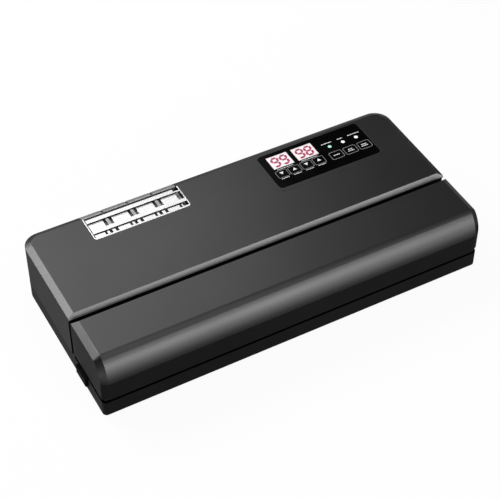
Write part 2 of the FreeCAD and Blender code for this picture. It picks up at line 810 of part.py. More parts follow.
def key(x, y, length, width):
    dx = length / 2
    dy = width / 2
    cap_base = PANEL_UNDER - SEAT
    top = PANEL_TOP + KEY_PROUD
    cap = slab(x - dx, x + dx, y - dy, y + dy, cap_base - KEY_FLANGE_T, top, KEY_ROUND, KEY_ROUND)
    rim = [e for e in cap.Edges if e.BoundBox.ZMin > top - NEAR]
    cap = cap.makeFillet(KEY_EDGE, rim)
    fx = dx + KEY_FLANGE
    fy = dy + KEY_FLANGE
    flange = box(x - fx, x + fx, y - fy, y + fy, cap_base - KEY_FLANGE_T, cap_base)
    switch_top = BOARD_TOP + SWITCH_H + SWITCH_NUB_H
    stem = post(KEY_STEM_R, x, y, switch_top + KEY_TRAVEL + SEAT, cap_base)
    return joined([cap, flange, stem])


def display(x, y):
    dx = DISPLAY_L / 2
    dy = DISPLAY_W / 2
    return box(x - dx, x + dx, y - dy, y + dy, BOARD_TOP, PANEL_TOP - DISPLAY_SINK)


def indicator_lenses():
    """Light pipes from the board up to domes that stand just out of the panel."""
    lenses = []
    for x, y in lens_places():
        pipe = post(LENS_R, x, y, BOARD_TOP, PANEL_TOP)
        dome = Part.makeSphere(LENS_R, V(x, y, PANEL_TOP - LENS_SINK), UP, 0, 90, 360)
        lenses.append(pipe.fuse(dome).removeSplitter())
    return Part.makeCompound(lenses)


def display_board():
    dx = PANEL_L / 2 + BOARD_MARGIN
    y0 = PANEL_Y - PANEL_W / 2 - BOARD_MARGIN
    y1 = PANEL_Y + PANEL_W / 2 + 2 * BOARD_MARGIN - SEAT
    board = box(PANEL_X - dx, PANEL_X + dx, y0, y1, BOARD_TOP - BOARD_T, BOARD_TOP)
    z0 = BOARD_TOP - BOARD_T - OVER
    holes = [post(SCREW_R + PILOT, x, y, z0, BOARD_TOP + OVER) for x, y in display_boss_places()]
    return board.cut(Part.makeCompound(holes))


def key_switches():
    switches = []
    half = SWITCH_L / 2
    for name, x, y, length, width in key_places():
        case = box(x - half, x + half, y - half, y + half, BOARD_TOP, BOARD_TOP + SWITCH_H)
        nub = post(SWITCH_NUB_R, x, y, BOARD_TOP, BOARD_TOP + SWITCH_H + SWITCH_NUB_H)
        switches.append(case.fuse(nub).removeSplitter())
    return Part.makeCompound(switches)


# Seal deck, channel, gaskets and sealing bar

def gasket_ring(grow, z0, z1):
    """Ring round the channel, widened by grow on both sides."""
    inner_x = CHANNEL_L / 2 + GASKET_MARGIN - grow
    inner_y = CHANNEL_W / 2 + GASKET_MARGIN - grow
    outer_x = inner_x + GASKET_W + 2 * grow
    outer_y = inner_y + GASKET_W + 2 * grow
    r_in = GASKET_R - grow
    r_out = r_in + GASKET_W + 2 * grow
    y = CHANNEL_Y
    outer = slab(-outer_x, outer_x, y - outer_y, y + outer_y, z0, z1, r_out, r_out)
    inner = slab(-inner_x, inner_x, y - inner_y, y + inner_y, z0 - OVER, z1 + OVER, r_in, r_in)
    return outer.cut(inner)


def crowned(ring, z_crown):
    flat = [e for e in ring.Edges if e.BoundBox.ZLength < NEAR]
    return ring.makeFillet(GASKET_ROUND, [e for e in flat if abs(e.BoundBox.ZMin - z_crown) < NEAR])


def lower_gasket():
    return crowned(gasket_ring(0, Z_RIM - GASKET_SEAT, GASKET_TOP), GASKET_TOP)


def upper_gasket():
    bottom = GASKET_TOP + GAP
    return crowned(gasket_ring(0, bottom, LINER_Z + LINER_GROOVE), bottom)


def deck_form():
    """The whole deck with its long opening and the walls of the channel under it."""
    x = X_END - WALL - SEAT
    y0 = BASE_FRONT + WALL + SEAT
    y1 = COVER_FRONT + WALL - SEAT
    r = BASE_FRONT_R - WALL
    added = [slab(-x, x, y0, y1, DECK_UNDER, Z_RIM, r, 0)]
    ring_x = CHANNEL_L / 2 + GASKET_MARGIN + GASKET_W + CHANNEL_T
    ring_y = CHANNEL_W / 2 + GASKET_MARGIN + GASKET_W + CHANNEL_T
    added.append(box(-ring_x, ring_x, CHANNEL_Y - ring_y, CHANNEL_Y + ring_y,
                     BED_UNDER, DECK_UNDER))
    added.append(channel_form(CHANNEL_T, CHANNEL_FLOOR, BED_UNDER))
    added.append(heater_pocket(CHANNEL_T, Z_RIM - HEATER_DEPTH - CHANNEL_T, DECK_UNDER))
    for sx in (-1, 1):
        added.append(hinge_post(sx * POST_X))
    body = joined(added)
    holes = [channel_form(0, CHANNEL_FLOOR - OVER, Z_RIM + OVER)]
    for nx in (SUCTION_X, VALVE_X):
        holes.append(rod(NOZZLE_R + PILOT, V(nx, CHANNEL_Y, NOZZLE_Z), ALONG_Y, CHANNEL_W))
    holes.append(heater_pocket(0, Z_RIM - HEATER_DEPTH, Z_RIM + OVER))
    holes.append(gasket_ring(SEAT / 2, Z_RIM - GASKET_SEAT, Z_RIM + OVER))
    half = HOOK_W / 2 + 2 * GAP
    hook_slot = box(HOOK_X - half, HOOK_X + half, HOOK_FRONT - HOOK_SWING, HOOK_FRONT + HOOK_L + OVER,
                    DECK_UNDER - OVER, Z_RIM + OVER)
    notch_half = BUTTON_W / 2 + 2 * GAP
    button_notch = box(X_END - 2 * WALL - BUTTON_PRESS, X_END, BUTTON_Y - notch_half, BUTTON_Y + notch_half,
                       DECK_UNDER - OVER, Z_RIM + OVER)
    holes += both_sides(hook_slot) + both_sides(button_notch)
    for px, py in deck_boss_places():
        holes.append(post(SCREW_R + PILOT, px, py, DECK_UNDER - OVER, Z_RIM + OVER))
    reach = POST_W
    holes.append(rod(PIN_R + RUN, V(POST_X - reach, HINGE_Y, HINGE_Z), ALONG_X, 2 * reach))
    holes.append(rod(PIN_R + RUN, V(-POST_X - reach, HINGE_Y, HINGE_Z), ALONG_X, 2 * reach))
    return body.cut(Part.makeCompound(holes))


def deck_parts():
    """Deck in four parts that frame the channel: two rails along it and two ends with post and latch slot."""
    whole = deck_form()
    half = CHANNEL_L / 2
    front = CHANNEL_Y - CHANNEL_W / 2
    rear = CHANNEL_Y + CHANNEL_W / 2
    far = LENGTH
    bounds = {
        "front_rail": box(-half, half, -far, front, 0, Z_TOP),
        "rear_rail": box(-half, half, rear, far, 0, Z_TOP),
        "deck_end_left": box(-far, -half, -far, far, 0, Z_TOP),
        "deck_end_right": box(half, far, -far, far, 0, Z_TOP),
    }
    return {name: whole.common(block) for name, block in bounds.items()}


def channel_tray():
    """Floor plate of the vacuum channel, welded under the walls of the deck."""
    return channel_form(CHANNEL_T, CHANNEL_FLOOR - CHANNEL_T, CHANNEL_FLOOR)


def channel_form(grow, z0, z1):
    dx = CHANNEL_L / 2 + grow
    dy = CHANNEL_W / 2 + grow
    return box(-dx, dx, CHANNEL_Y - dy, CHANNEL_Y + dy, z0, z1)


def heater_pocket(grow, z0, z1):
    dx = HEATER_L / 2 + TERMINAL_L + SEAT + grow
    dy = HEATER_W / 2 + TAPE_T + SEAT + grow
    front = max(HEATER_Y - dy, BASE_FRONT + WALL + SEAT)
    return box(-dx, dx, front, HEATER_Y + dy, z0, z1)


def hinge_post(x):
    """Round-topped pillar on the deck that carries one hinge pin."""
    half = POST_W / 2
    pillar = box(x - half, x + half, HINGE_Y - POST_R, HINGE_Y + POST_R, DECK_UNDER, HINGE_Z)
    crown = rod(POST_R, V(x - half, HINGE_Y, HINGE_Z), ALONG_X, POST_W)
    return pillar.fuse(crown)


def heater_bar():
    dx = HEATER_L / 2
    dy = HEATER_W / 2
    return box(-dx, dx, HEATER_Y - dy, HEATER_Y + dy, Z_RIM - HEATER_DEPTH, HEATER_TOP)


def heating_strip():
    dx = HEATER_L / 2
    dy = STRIP_W / 2
    return box(-dx, dx, HEATER_Y - dy, HEATER_Y + dy, HEATER_TOP, HEATER_TOP + STRIP_T)


def heater_tape():
    """Non-stick tape folded over the strip and down both sides of the bar."""
    dx = HEATER_L / 2
    inside = HEATER_W / 2 + TAPE_GAP
    outside = inside + TAPE_T
    under = TAPE_TOP - TAPE_T
    hem = HEATER_TOP - TAPE_DROP
    y = HEATER_Y
    section = [(y - outside, hem), (y - inside, hem), (y - inside, under), (y + inside, under),
               (y + inside, hem), (y + outside, hem), (y + outside, TAPE_TOP), (y - outside, TAPE_TOP)]
    return profile_along_x(section, -dx, dx)


def heater_terminals():
    dx = HEATER_L / 2
    dy = HEATER_W / 2
    block = box(dx, dx + TERMINAL_L, HEATER_Y - dy, HEATER_Y + dy,
                Z_RIM - HEATER_DEPTH, HEATER_TOP + STRIP_T)
    return Part.makeCompound(both_sides(block))


# Hood

def lid_wire(x, inset, bottom, end):
    """Section of the hood at x, drawn in by inset; end gives the smaller section at the end faces."""
    soft = inset * (LID_END_SOFT if end else BEVEL_SOFT)
    rear = LID_REAR - inset
    if end:
        top = Z_TOP - LID_END_DROP - soft
        front = Y_FRONT + LID_END_SET + soft
        bevel_run = LID_END_NIB
        bevel_drop = LID_END_NIB
        within = LID_END_SET + soft
    else:
        top = Z_TOP - inset
        front = Y_FRONT + inset
        bevel_run = LID_BEVEL_RUN - soft
        bevel_drop = LID_BEVEL_DROP - soft
        within = inset
    brow = LID_BROW - within * BROW_SHRINK
    points = [V(x, rear, bottom), V(x, rear, top - bevel_drop), V(x, rear - bevel_run, top),
              V(x, front + brow, top), V(x, front, top - brow), V(x, front, bottom)]
    return rounded_loop(points, [0, 0, 0, LID_BROW_R - within, LID_FRONT_R - within, 0])


def lid_form(inset, bottom):
    """Closed outer form of the hood, drawn in by inset."""
    end_x = X_END - inset
    full_x = X_END - EDGE_RUN - inset * BEVEL_SOFT
    wires = [lid_wire(-end_x, inset, bottom, True), lid_wire(-full_x, inset, bottom, False),
             lid_wire(full_x, inset, bottom, False), lid_wire(end_x, inset, bottom, True)]
    return Part.makeLoft(wires, True, True)


def lid_shell():
    outer = lid_form(0, Z_LID)
    shell = outer.cut(lid_form(WALL, Z_LID - OVER))
    curtain = Z_TOP - LID_CURTAIN_H
    x = X_END - WALL
    wall_y = LID_REAR - WALL - NEAR
    cuts = [box(-x, x, wall_y, LID_REAR + OVER, Z_LID - OVER, curtain)]
    notch_top = Z_TOP - LID_BEVEL_DROP - NOTCH_UNDER_BEVEL
    half = POST_W / 2 + 2 * GAP
    for sx in (-1, 1):
        px = sx * POST_X
        cuts.append(box(px - half, px + half, wall_y, LID_REAR + OVER, curtain - OVER, notch_top))
    shell = shell.cut(Part.makeCompound(cuts))
    added = [shell]
    for sx in (-1, 1):
        for side in (-1, 1):
            centre = sx * POST_X + side * (POST_W / 2 + GAP + EAR_W / 2)
            added.append(hinge_ear(centre).common(outer))
    for px, py in lid_boss_places():
        added.append(post(LID_BOSS_R, px, py, LINER_TOP, Z_TOP - WALL / 2).common(outer))
    body = joined(added)
    holes = []
    for px, py in lid_boss_places():
        holes.append(post(SCREW_R + PILOT, px, py, LINER_TOP - OVER, LINER_TOP + SCREW_L))
    reach = POST_W / 2 + GAP + EAR_W
    for sx in (-1, 1):
        start = V(sx * POST_X - reach - OVER, HINGE_Y, HINGE_Z)
        holes.append(rod(PIN_R + RUN / 2, start, ALONG_X, 2 * (reach + OVER)))
    return body.cut(Part.makeCompound(holes))


def hinge_ear(x):
    """Lug under the top of the hood, beside a hinge post."""
    half = EAR_W / 2
    hanger = box(x - half, x + half, HINGE_Y - POST_R, HINGE_Y + POST_R, HINGE_Z, Z_TOP - WALL / 2)
    eye = rod(POST_R, V(x - half, HINGE_Y, HINGE_Z), ALONG_X, EAR_W)
    return hanger.fuse(eye)


def hinge_pin(x):
    reach = POST_W / 2 + GAP + EAR_W
    return rod(PIN_R, V(x - reach, HINGE_Y, HINGE_Z), ALONG_X, 2 * reach)


def lid_liner():
    """Tray inside the hood with grooves for the gasket and the press strip, and the two latch hooks."""
    x = X_END - WALL - 2 * SEAT
    y0 = Y_FRONT + WALL + SEAT
    y1 = CHANNEL_Y + CHANNEL_W / 2 + GASKET_MARGIN + GASKET_W + LINER_REAR_MARGIN
    tray = slab(-x, x, y0, y1, LINER_Z, LINER_TOP + LINER_RIM_H, LINER_CORNER_R, 0)
    hollow = slab(-x + LINER_RIM_T, x - LINER_RIM_T, y0 + LINER_RIM_T, y1 - LINER_RIM_T,
                  LINER_TOP, LINER_TOP + LINER_RIM_H + OVER, LINER_CORNER_R - LINER_RIM_T, 0)
    hook = box(HOOK_X - HOOK_W / 2, HOOK_X + HOOK_W / 2, HOOK_FRONT, HOOK_FRONT + HOOK_L,
               Z_RIM - HOOK_TIP, LINER_Z)
    tip = [e for e in hook.Edges if e.BoundBox.ZMax < Z_RIM - HOOK_TIP + NEAR and e.BoundBox.XLength > NEAR]
    hook = hook.makeChamfer(HOOK_BEVEL, tip)
    body = joined([tray.cut(hollow)] + both_sides(hook))
    holes = [gasket_ring(SEAT / 2, LINER_Z - OVER, LINER_Z + LINER_GROOVE)]
    half = PRESS_W / 2 + SEAT / 2
    dx = HEATER_L / 2 + SEAT
    holes.append(box(-dx, dx, HEATER_Y - half, HEATER_Y + half, LINER_Z - OVER, LINER_Z + LINER_GROOVE))
    for px, py in lid_boss_places():
        holes.append(post(SCREW_R + PILOT, px, py, LINER_Z - OVER, LINER_TOP + OVER))
    clear = POST_W / 2 + EAR_W
    for sx in (-1, 1):
        px = sx * POST_X
        holes.append(box(px - clear, px + clear, HINGE_Y - POST_R - OVER, y1 + OVER, LINER_Z - OVER,
                         LINER_TOP + LINER_RIM_H + OVER))
    return body.cut(Part.makeCompound(holes))


def press_strip():
    dx = HEATER_L / 2
    dy = PRESS_W / 2
    bottom = TAPE_TOP + GAP
    strip = box(-dx, dx, HEATER_Y - dy, HEATER_Y + dy, bottom, LINER_Z + LINER_GROOVE)
    rim = [e for e in strip.Edges if e.BoundBox.ZMax < bottom + NEAR and e.BoundBox.XLength > NEAR]
    return strip.makeFillet(PRESS_ROUND, rim)


# Latch

def slide_inner_x():
    """Inner end of the right-hand latch slide."""
    return X_END - WALL - BUTTON_LATCH - SEAT - SLIDE_L


def release_button():
    """Right-hand button with its slide under the hook and the nose that stands in the hook's way."""
    z0 = Z_FLOOR + BUTTON_LIFT
    half = BUTTON_W / 2
    slide_in = slide_inner_x()
    slide_out = slide_in + SLIDE_L
    cap = box(slide_out, X_END + BUTTON_PROUD, BUTTON_Y - half, BUTTON_Y + half, z0, z0 + BUTTON_H)
    rim = [e for e in cap.Edges if e.BoundBox.XMin > X_END]
    cap = cap.makeFillet(BUTTON_ROUND, rim)
    bottom = Z_FLOOR + GAP
    slide = box(slide_in, slide_out, BUTTON_Y - half, BUTTON_Y + half, bottom, Z_FLOOR + SLIDE_H)
    flange = box(slide_out - WALL, slide_out, BUTTON_Y - half - WALL, BUTTON_Y + half + WALL,
                 bottom, Z_FLOOR + SLIDE_H)
    nose = box(slide_in, HOOK_X - HOOK_W / 2 - GAP, HOOK_FRONT - GAP - NOSE_L, HOOK_FRONT - GAP,
               bottom, DECK_UNDER - GAP)
    return joined([cap, slide, flange, nose])


def button_spring():
    """Coil spring behind the right-hand slide, a half turn to each arc."""
    x0 = slide_inner_x() - SPRING_L + SPRING_WIRE + SEAT / 2
    pitch = (SPRING_L - 2 * SPRING_WIRE - SEAT) / SPRING_TURNS
    z = Z_FLOOR + GAP + SPRING_R + 2 * SPRING_WIRE

    def at(turn):
        angle = 2 * math.pi * turn
        return V(x0 + pitch * turn, BUTTON_Y + SPRING_R * math.cos(angle), z + SPRING_R * math.sin(angle))

    arcs = []
    for i in range(2 * SPRING_TURNS):
        arcs.append(Part.Arc(at(i / 2), at(i / 2 + 0.25), at(i / 2 + 0.5)).toShape())
    path = Part.Wire(arcs)
    circle = Part.makeCircle(SPRING_WIRE, at(0), arcs[0].tangentAt(arcs[0].FirstParameter))
    return path.makePipeShell([Part.Wire(circle)], True, False)


# Vacuum pump, hoses and valve

def pump_motor():
    can = rod(MOTOR_R, V(PUMP_JOIN_X - MOTOR_L, PUMP_Y, PUMP_Z), ALONG_X, MOTOR_L)
    tail = PUMP_JOIN_X - MOTOR_L
    can = can.makeFillet(WALL, [e for e in can.Edges if e.BoundBox.XMax < tail + NEAR])
    hub = rod(MOTOR_HUB_R, V(tail - MOTOR_HUB_L, PUMP_Y, PUMP_Z), ALONG_X, 2 * MOTOR_HUB_L)
    start = V(tail - 2 * MOTOR_HUB_L, PUMP_Y, PUMP_Z)
    bore = rod(SHAFT_R + RUN, start, ALONG_X, MOTOR_L + 4 * MOTOR_HUB_L)
    return joined([can, hub]).cut(bore)


def pump_head():
    half = HEAD_SIDE / 2
    block = box(PUMP_JOIN_X, PUMP_JOIN_X + HEAD_L, PUMP_Y - half, PUMP_Y + half,
                PUMP_Z - half, PUMP_Z + half)
    edges = [e for e in block.Edges if e.BoundBox.XLength > HEAD_L / 2]
    block = block.makeFillet(2 * WALL, edges)
    crank = rod(CRANK_R, V(PUMP_JOIN_X - OVER, PUMP_Y, PUMP_Z), ALONG_X, CRANK_L + OVER)
    face = PUMP_Y - half
    tube = rod(NOZZLE_R, V(SUCTION_X, face - NOZZLE_L, PUMP_Z), ALONG_Y, NOZZLE_L + WALL)
    bore = rod(NOZZLE_BORE, V(SUCTION_X, face - NOZZLE_L - OVER, PUMP_Z), ALONG_Y, NOZZLE_L + 2 * WALL)
    slots = []
    for i in range(HEAD_SLOTS):
        x = PUMP_JOIN_X + CRANK_L + (i + 1) * (HEAD_L - CRANK_L) / (HEAD_SLOTS + 1)
        slots.append(box(x - HEAD_SLOT_W / 2, x + HEAD_SLOT_W / 2, PUMP_Y - half, PUMP_Y + half,
                         PUMP_Z + half - WALL, PUMP_Z + half + OVER))
    return block.fuse(tube).cut(Part.makeCompound([crank, bore] + slots))


def pump_shaft():
    start = PUMP_JOIN_X - MOTOR_L - MOTOR_HUB_L - SHAFT_TAIL
    stop = PUMP_JOIN_X + CRANK_L - 2 * GAP
    shaft = rod(SHAFT_R, V(start, PUMP_Y, PUMP_Z), ALONG_X, stop - start)
    cam_start = PUMP_JOIN_X + (CRANK_L - CAM_T) / 2
    cam = rod(CAM_R, V(cam_start, PUMP_Y, PUMP_Z + CAM_OFFSET), ALONG_X, CAM_T)
    return shaft.fuse(cam).removeSplitter()


def pump_bracket():
    """Strap round the motor with a flange on each side that stands on the base bosses."""
    x = PUMP_JOIN_X - MOTOR_L / 2
    half = STRAP_W / 2
    centre = V(x - half, PUMP_Y, PUMP_Z)
    ring = rod(MOTOR_R + SEAT / 2 + STRAP_T, centre, ALONG_X, STRAP_W)
    reach = MOTOR_R + STRAP_T + FLANGE_REACH
    flange = box(x - half, x + half, PUMP_Y - reach, PUMP_Y + reach, BOSS_TOP, BOSS_TOP + FLANGE_T)
    cheek = MOTOR_R + STRAP_T
    web = box(x - half, x + half, PUMP_Y - cheek, PUMP_Y + cheek, BOSS_TOP, PUMP_Z)
    body = joined([ring, flange, web])
    bore = rod(MOTOR_R + SEAT / 2, V(x - half - OVER, PUMP_Y, PUMP_Z), ALONG_X, STRAP_W + 2 * OVER)
    holes = []
    for px, py in strap_boss_places():
        holes.append(post(SCREW_R + PILOT, px, py, BOSS_TOP - OVER, BOSS_TOP + FLANGE_T + OVER))
    return body.cut(Part.makeCompound([bore] + holes))


def channel_nozzle(x):
    """Flanged tube through the rear wall of the channel."""
    inner_wall = CHANNEL_Y + CHANNEL_W / 2
    start = V(x, inner_wall - NOZZLE_FLANGE_T, NOZZLE_Z)
    length = NOZZLE_FLANGE_T + CHANNEL_T + NOZZLE_L
    tube = rod(NOZZLE_R, start, ALONG_Y, length)
    flange = rod(NOZZLE_FLANGE_R, start, ALONG_Y, NOZZLE_FLANGE_T)
    bore = rod(NOZZLE_BORE, start - ALONG_Y * OVER, ALONG_Y, length + 2 * OVER)
    return tube.fuse(flange).removeSplitter().cut(bore)


def hose_along(path):
    """Tube that follows a wire starting along +Y."""
    start = path.Vertexes[0].Point
    solids = []
    for radius in (NOZZLE_R + RUN + HOSE_T, NOZZLE_R + RUN):
        circle = Part.Wire(Part.makeCircle(radius, start, ALONG_Y))
        solids.append(path.makePipeShell([circle], True, False))
    return solids[0].cut(solids[1])


def vacuum_hose():
    """From the channel to the pump, rising in one S between its two straight ends."""
    y0 = CHANNEL_BACK_WALL + SEAT
    y1 = PUMP_Y - HEAD_SIDE / 2 - SEAT
    rise = PUMP_Z - NOZZLE_Z
    turn = math.acos(1 - rise / (2 * HOSE_BEND))
    run = 2 * HOSE_BEND * math.sin(turn)
    bend_start = y1 - NOZZLE_L - run
    half = turn / 2

    def low(angle):
        return V(SUCTION_X, bend_start + HOSE_BEND * math.sin(angle),
                 NOZZLE_Z + HOSE_BEND * (1 - math.cos(angle)))

    def high(angle):
        return V(SUCTION_X, bend_start + run - HOSE_BEND * math.sin(angle),
                 PUMP_Z - HOSE_BEND * (1 - math.cos(angle)))

    edges = [Part.makeLine(V(SUCTION_X, y0, NOZZLE_Z), low(0)),
             Part.Arc(low(0), low(half), low(turn)).toShape(),
             Part.Arc(high(turn), high(half), high(0)).toShape(),
             Part.makeLine(high(0), V(SUCTION_X, y1, PUMP_Z))]
    return hose_along(Part.Wire(edges))


def vent_hose():
    y0 = CHANNEL_BACK_WALL + SEAT
    y1 = VALVE_Y - SEAT
    return hose_along(Part.Wire([Part.makeLine(V(VALVE_X, y0, NOZZLE_Z), V(VALVE_X, y1, NOZZLE_Z))]))


def valve_body():
    """Block with a nozzle towards the channel and a bore for the plunger."""
    half = VALVE_L / 2
    z0 = valve_under()
    block = box(VALVE_X - half, VALVE_X + half, VALVE_Y, VALVE_Y + VALVE_W, z0, z0 + VALVE_H)
    tube = rod(NOZZLE_R, V(VALVE_X, VALVE_Y - NOZZLE_L, NOZZLE_Z), ALONG_Y, NOZZLE_L + WALL)
    mouth = V(VALVE_X + half, VALVE_Y + VALVE_W / 2, NOZZLE_Z)
    plunger_bore = rod(PLUNGER_R + RUN, mouth, V(-1, 0, 0), PLUNGER_BORE)
    start = V(VALVE_X, VALVE_Y - NOZZLE_L - OVER, NOZZLE_Z)
    bore = rod(NOZZLE_BORE, start, ALONG_Y, NOZZLE_L + OVER + VALVE_W / 4)
    return block.fuse(tube).cut(Part.makeCompound([plunger_bore, bore]))


def valve_plunger():
    mouth_x = VALVE_X + VALVE_L / 2
    y = VALVE_Y + VALVE_W / 2
    inside = PLUNGER_BORE - PLUNGER_TRAVEL - GAP
    stem = rod(PLUNGER_R, V(mouth_x - inside, y, NOZZLE_Z), ALONG_X, inside + PLUNGER_OUT)
    head = rod(PLUNGER_HEAD_R, V(mouth_x + PLUNGER_OUT, y, NOZZLE_Z), ALONG_X, PLUNGER_HEAD_T)
    return stem.fuse(head).removeSplitter()


# Electrical pieces

def core_legs():
    """Width and height of the two winding windows."""
    window_l = (CORE_L - CORE_LEG - 2 * CORE_YOKE) / 2
    window_h = CORE_H - 2 * CORE_YOKE
    return window_l, window_h


def transformer_core():
    z0 = BOSS_TOP + FLANGE_T
    half = CORE_L / 2
    y0 = CORE_Y - CORE_W / 2
    y1 = CORE_Y + CORE_W / 2
    block = box(CORE_X - half, CORE_X + half, y0, y1, z0, z0 + CORE_H)
    reach = half + FLANGE_REACH
    flange = box(CORE_X - reach, CORE_X + reach, y0, y1, BOSS_TOP, z0)
    window_l, window_h = core_legs()
    holes = []
    for sx in (-1, 1):
        x = CORE_X + sx * (CORE_LEG + window_l) / 2
        holes.append(box(x - window_l / 2, x + window_l / 2, y0 - OVER, y1 + OVER,
                         z0 + CORE_YOKE, z0 + CORE_YOKE + window_h))
    for px, py in core_boss_places():
        holes.append(post(SCREW_R + PILOT, px, py, BOSS_TOP - OVER, z0 + OVER))
    return joined([block, flange]).cut(Part.makeCompound(holes))


def transformer_coil():
    window_l, window_h = core_legs()
    z0 = BOSS_TOP + FLANGE_T + CORE_YOKE + SEAT
    z1 = z0 + window_h - 2 * SEAT
    dx = CORE_LEG / 2 + window_l - SEAT
    dy = CORE_W / 2 + COIL_OVERHANG
    outer = slab(CORE_X - dx, CORE_X + dx, CORE_Y - dy, CORE_Y + dy, z0, z1, COIL_R, COIL_R)
    hx = CORE_LEG / 2 + SEAT
    hy = CORE_W / 2 + SEAT
    return outer.cut(box(CORE_X - hx, CORE_X + hx, CORE_Y - hy, CORE_Y + hy, z0 - OVER, z1 + OVER))


def power_board():
    z0 = Z_FLOOR + POWER_LIFT
    dx = POWER_L / 2
    dy = POWER_W / 2
    board = box(POWER_X - dx, POWER_X + dx, POWER_Y - dy, POWER_Y + dy, z0, z0 + BOARD_T)
    z1 = z0 + BOARD_T
    holes = [post(SCREW_R + PILOT, x, y, z0 - OVER, z1 + OVER) for x, y in power_boss_places()]
    return board.cut(Part.makeCompound(holes))


def board_components():
    """Two capacitors, a relay, a finned heat sink and a row of terminals on the power board."""
    z = Z_FLOOR + POWER_LIFT + BOARD_T

    def block(at, length, width, height):
        x = POWER_X + at[0]
        y = POWER_Y + at[1]
        return box(x - length / 2, x + length / 2, y - width / 2, y + width / 2, z, z + height)

    parts = []
    for dx, dy in CAPACITORS_AT:
        can = post(CAPACITOR_R, POWER_X + dx, POWER_Y + dy, z, z + CAPACITOR_H)
        rim = [e for e in can.Edges if e.BoundBox.ZMin > z + CAPACITOR_H - NEAR]
        parts.append(can.makeFillet(CAPACITOR_ROUND, rim))
    parts.append(block(RELAY_AT, RELAY_L, RELAY_W, RELAY_H))
    sink = [block(SINK_AT, SINK_L, SINK_T, SINK_H)]
    step = (SINK_L - SINK_FIN_T) / (SINK_FINS - 1)
    for i in range(SINK_FINS):
        dx = i * step - (SINK_L - SINK_FIN_T) / 2
        sink.append(block((SINK_AT[0] + dx, SINK_AT[1]), SINK_FIN_T, SINK_W, SINK_H))
    parts.append(joined(sink))
    parts.append(block(TERMINALS_AT, TERMINALS_L, TERMINALS_W, TERMINALS_H))
    return Part.makeCompound(parts)


def inlet_socket():
    """Appliance inlet with a figure-eight recess, flush with the rear wall and rimmed inside it."""
    dx = INLET_L / 2
    dz = INLET_H / 2
    body = box(INLET_X - dx, INLET_X + dx, Y_REAR - INLET_DEEP, Y_REAR, INLET_Z - dz, INLET_Z + dz)
    rx = dx + INLET_RIM
    rz = dz + INLET_RIM
    rim_y = Y_REAR - WALL - SEAT / 2
    rim = box(INLET_X - rx, INLET_X + rx, rim_y - INLET_RIM_T, rim_y, INLET_Z - rz, INLET_Z + rz)
    floor = Y_REAR - INLET_SOCKET
    holes = []
    for sx in (-1, 1):
        x = INLET_X + sx * LOBE_PITCH / 2
        holes.append(rod(LOBE_R, V(x, floor, INLET_Z), ALONG_Y, INLET_SOCKET + OVER))
        holes.append(rod(CONTACT_R + PILOT, V(x, Y_REAR - INLET_DEEP - OVER, INLET_Z), ALONG_Y, INLET_DEEP))
    waist = WAIST_H / 2
    holes.append(box(INLET_X - LOBE_PITCH / 2, INLET_X + LOBE_PITCH / 2, floor, Y_REAR + OVER,
                     INLET_Z - waist, INLET_Z + waist))
    return body.fuse(rim).removeSplitter().cut(joined(holes))


def inlet_pins():
    start = Y_REAR - INLET_DEEP - CONTACT_TAIL
    pins = []
    for sx in (-1, 1):
        x = INLET_X + sx * LOBE_PITCH / 2
        pin = rod(CONTACT_R, V(x, start, INLET_Z), ALONG_Y, INLET_DEEP + CONTACT_TAIL - CONTACT_SINK)
        nose = [e for e in pin.Edges if e.BoundBox.YMin > Y_REAR - INLET_DEEP]
        pins.append(pin.makeFillet(CONTACT_ROUND, nose))
    return Part.makeCompound(pins)


# Screws

def housing_screws():
    z = FOOT_H + HEAD_RECESS + SCREW_HEAD_H
    return Part.makeCompound([screw(x, y, z, LONG_SCREW_L, 1) for x, y in cover_boss_places()])


def inner_screws():
    """Short screws of the deck, pump strap, transformer and boards."""
    screws = [screw(x, y, Z_RIM, SCREW_L, -1) for x, y in deck_boss_places()]
    for x, y in strap_boss_places() + core_boss_places():
        screws.append(screw(x, y, BOSS_TOP + FLANGE_T, SHORT_SCREW_L, -1))
    for x, y in power_boss_places():
        screws.append(screw(x, y, Z_FLOOR + POWER_LIFT + BOARD_T, SCREW_L - BOARD_T, -1))
    for x, y in display_boss_places():
        screws.append(screw(x, y, BOARD_TOP - BOARD_T, SCREW_L, 1))
    return Part.makeCompound(screws)


def liner_screws():
    return Part.makeCompound([screw(x, y, LINER_Z, SCREW_L, 1) for x, y in lid_boss_places()])


# All pieces by name

